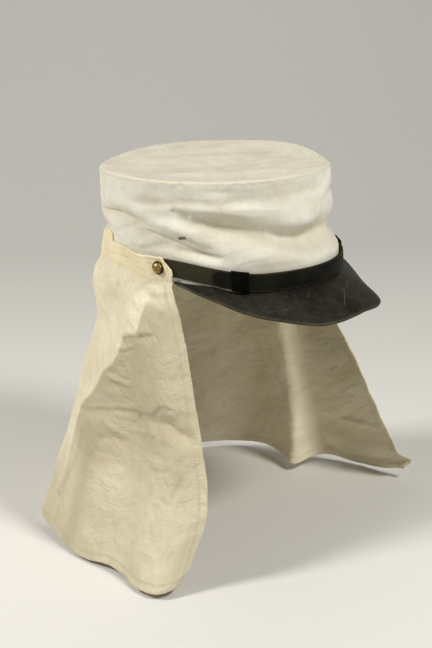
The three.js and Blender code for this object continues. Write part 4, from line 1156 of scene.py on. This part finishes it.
def buildFlap():
    drop = flap["drop"]
    across = unevenSteps(flap["columns"], [(0, 0), (0.5, 0.4), (0.68, 0.7), (1, 1)])
    rows = np.concatenate([[-0.02, -0.01], np.linspace(0, 1, flap["rows"])])
    lay = hangFlap(across, np.clip(rows, 0, 1))
    sideways = np.gradient(lay, axis=0)
    out = unit(np.stack([-sideways[..., 1], sideways[..., 0], 0 * sideways[..., 0]], axis=-1))
    share, level = np.meshgrid(across, rows, indexing="ij")
    scale = 4 * flap["halfWidth"] / drop
    big = [{**row, "path": [(a * scale, d) for a, d in row["path"]]} for row in flap["folds"]]
    relief = flap["fold"] * foldsRelief(share * scale, level, big) * ease(0, 0.06, level)
    steps = np.linalg.norm(np.diff(lay, axis=0), axis=-1)
    width = np.concatenate([np.zeros((1, len(rows))), np.cumsum(steps, axis=0)])
    x, y = -width, -level * drop
    flat = np.stack([x, y], axis=-1)

    # A place in percent across and down, on the flat cloth
    def onFlat(percentAcross, percentDown):
        column = np.interp(percentAcross / 100, across, np.arange(len(across)))
        row = np.interp(percentDown / 100, rows, np.arange(len(rows)))
        return tuple(sampleGrid(flat, np.array(column), np.array(row)))

    creases = [{**row, "path": [onFlat(*place) for place in row["path"]],
                "high": flap["creaseHeight"] * row["high"]} for row in flap["creases"]]
    fine = foldsRelief(x, y, creases) + uneven(ripple, x, y, flap["waves"])
    fine += uneven(crumple, x, y, flap["crumples"]) * (1 - 0.6 * ease(0.55, 0.68, level))
    fine *= ease(-0.01, 0.05, level)
    edge = np.minimum(np.minimum(width, width[-1:] - width), (1 - level) * drop)
    inHem = ease(flap["hem"] + 0.5, flap["hem"] - 0.5, edge)
    seams = 0.25 * bump(edge, flap["hem"] - flap["seamIn"], 0.7)
    tucked = -1.0 * ease(0, -0.02, level)
    outer = lay + out * (relief + fine + 0.3 * inHem - seams + tucked)[..., None]
    outer[..., 2] += np.where(level < 0, -level * drop, 0)
    # Darker along the seams, painted shade in the fine creases, and painted shade on the front panel and the
    # far panel's inside
    marks = {"hollow": np.clip(seams * 5 - 0.45 * fine, 0, 1.4), "paintedShadeMark": flapPaintedShade(share, level)}
    sheet = wallPiece("neckFlap", outer, flap["thick"] + flap["hemThick"] * inHem, flat,
                      cottonFinish("flapCotton", flap, flapShadeAndSpots), "neck_flap", marks=marks)
    stitches = sewFlap(outer, width, rows)


# Painted shade, tiny dark specks and faint stains
def flapShadeAndSpots(finish, flat, colour):
    colour = finish.blend(finish.mark("paintedShadeMark") * 0.9, colour, flap["paintedShadeColour"])
    speck = finish.noise(flat, 75, 0.0).between(0.81, 0.85)
    colour = finish.blend(speck * 0.5, colour, tint(120, 104, 74))
    stain = finish.noise(flat, 2.3, 2.0).between(0.56, 0.75)
    return finish.blend(stain * 0.2, colour, tint(196, 178, 134))


buildCover()
print("crown cover made")
buildTop()
print("top panel made")
buildPeak()
print("peak made")
buildStraps()
buildLoops()
buildButtons()
print("straps, loops and buttons made")
buildBand()
buildEyelets()
print("band made")
buildFlap()
print("flap made")

# The studio: a pale floor that bends up behind, two soft lights and a weak one from behind
studio = {
    "floor": tint(226, 224, 218), "mottle": tint(212, 210, 204), "halfWidth": 3.0, "under": 0.0012,
    "away": (0.7637, 0.6456), "near": -2.6, "bend": 0.9, "top": 3.2,
    "world": 0.11, "worldColour": (1, 0.99, 0.97, 1),
    # Name, degrees from the front, degrees up, distance, size, power and colour
    "lights": [("leftLight", 126, 41, 1.6, 0.36, 18.4, (1, 0.985, 0.955)),
               ("rightLight", 4, 42, 1.6, 0.36, 18.6, (1, 0.99, 0.97)),
               ("backLight", -130, 50, 2.0, 1.0, 2, (1, 1, 1))],
}
# The photo's camera, in metres
view = {
    "lens": 85.05, "sensor": 36, "place": (-0.8982, -0.7532, 0.3034), "right": (0.6358, -0.7707, -0.0417),
    "up": (0.2471, 0.1521, 0.9570), "ahead": (0.7312, 0.6187, -0.2871),
}


def buildFloor():
    finish = Finish("studioFloor")
    tone = finish.noise(finish.node("ShaderNodeTexCoord", None, None, "Object"), 3.0, 3.0)
    paint = finish.blend(tone * 0.12, studio["floor"], studio["mottle"])
    bend = studio["bend"]
    turned = [(bend + bend * math.sin(a), bend - bend * math.cos(a)) for a in np.linspace(0, math.pi / 2, 24)]
    profile = [(studio["near"], 0.0), *turned, (2 * bend, studio["top"])]
    awayX, awayY = studio["away"]
    base = cadLow[2] - studio["under"]
    points, faces = [], []
    for k, (ahead, up) in enumerate(profile):
        for wide in (-studio["halfWidth"], studio["halfWidth"]):
            points.append((awayX * ahead - awayY * wide, awayY * ahead + awayX * wide, base + up))
        if k:
            faces.append([2 * k - 2, 2 * k - 1, 2 * k + 1, 2 * k])
    mesh = bpy.data.meshes.new("floor")
    mesh.from_pydata(points, [], faces)
    mesh.polygons.foreach_set("use_smooth", [True] * len(faces))
    mesh.materials.append(finish.surface({"Base Color": paint, "Roughness": 0.9}))
    floor = bpy.data.objects.new("floor", mesh)
    bpy.context.scene.collection.objects.link(floor)


# A square soft light that faces the cap
def softLight(name, around, rise, distance, size, power, colour):
    light = bpy.data.lights.new(name, "AREA")
    light.energy = power
    light.size = size
    light.color = colour
    lamp = bpy.data.objects.new(name, light)
    a, e = math.radians(around), math.radians(rise)
    lamp.location = Vector((-math.sin(a) * math.cos(e), -math.cos(a) * math.cos(e), math.sin(e))) * distance
    lamp.rotation_euler = (-lamp.location).to_track_quat("-Z", "Y").to_euler()
    bpy.context.scene.collection.objects.link(lamp)


def buildView():
    camera = bpy.data.cameras.new("photoCamera")
    camera.sensor_fit = "VERTICAL"
    camera.sensor_height = view["sensor"]
    camera.lens = view["lens"]
    camera.clip_start = 0.05
    holder = bpy.data.objects.new("photoCamera", camera)
    turn = Matrix((view["right"], view["up"], -Vector(view["ahead"]))).transposed()
    holder.matrix_world = Matrix.Translation(view["place"]) @ turn.to_4x4()
    scene = bpy.context.scene
    scene.collection.objects.link(holder)
    scene.camera = holder
    world = bpy.data.worlds.new("studioWorld")
    world.use_nodes = True
    background = world.node_tree.nodes["Background"].inputs
    background["Color"].default_value = studio["worldColour"]
    background["Strength"].default_value = studio["world"]
    scene.world = world
    scene.view_settings.view_transform = "Standard"


buildFloor()
for light in studio["lights"]:
    softLight(*light)
buildView()
print("studio made")
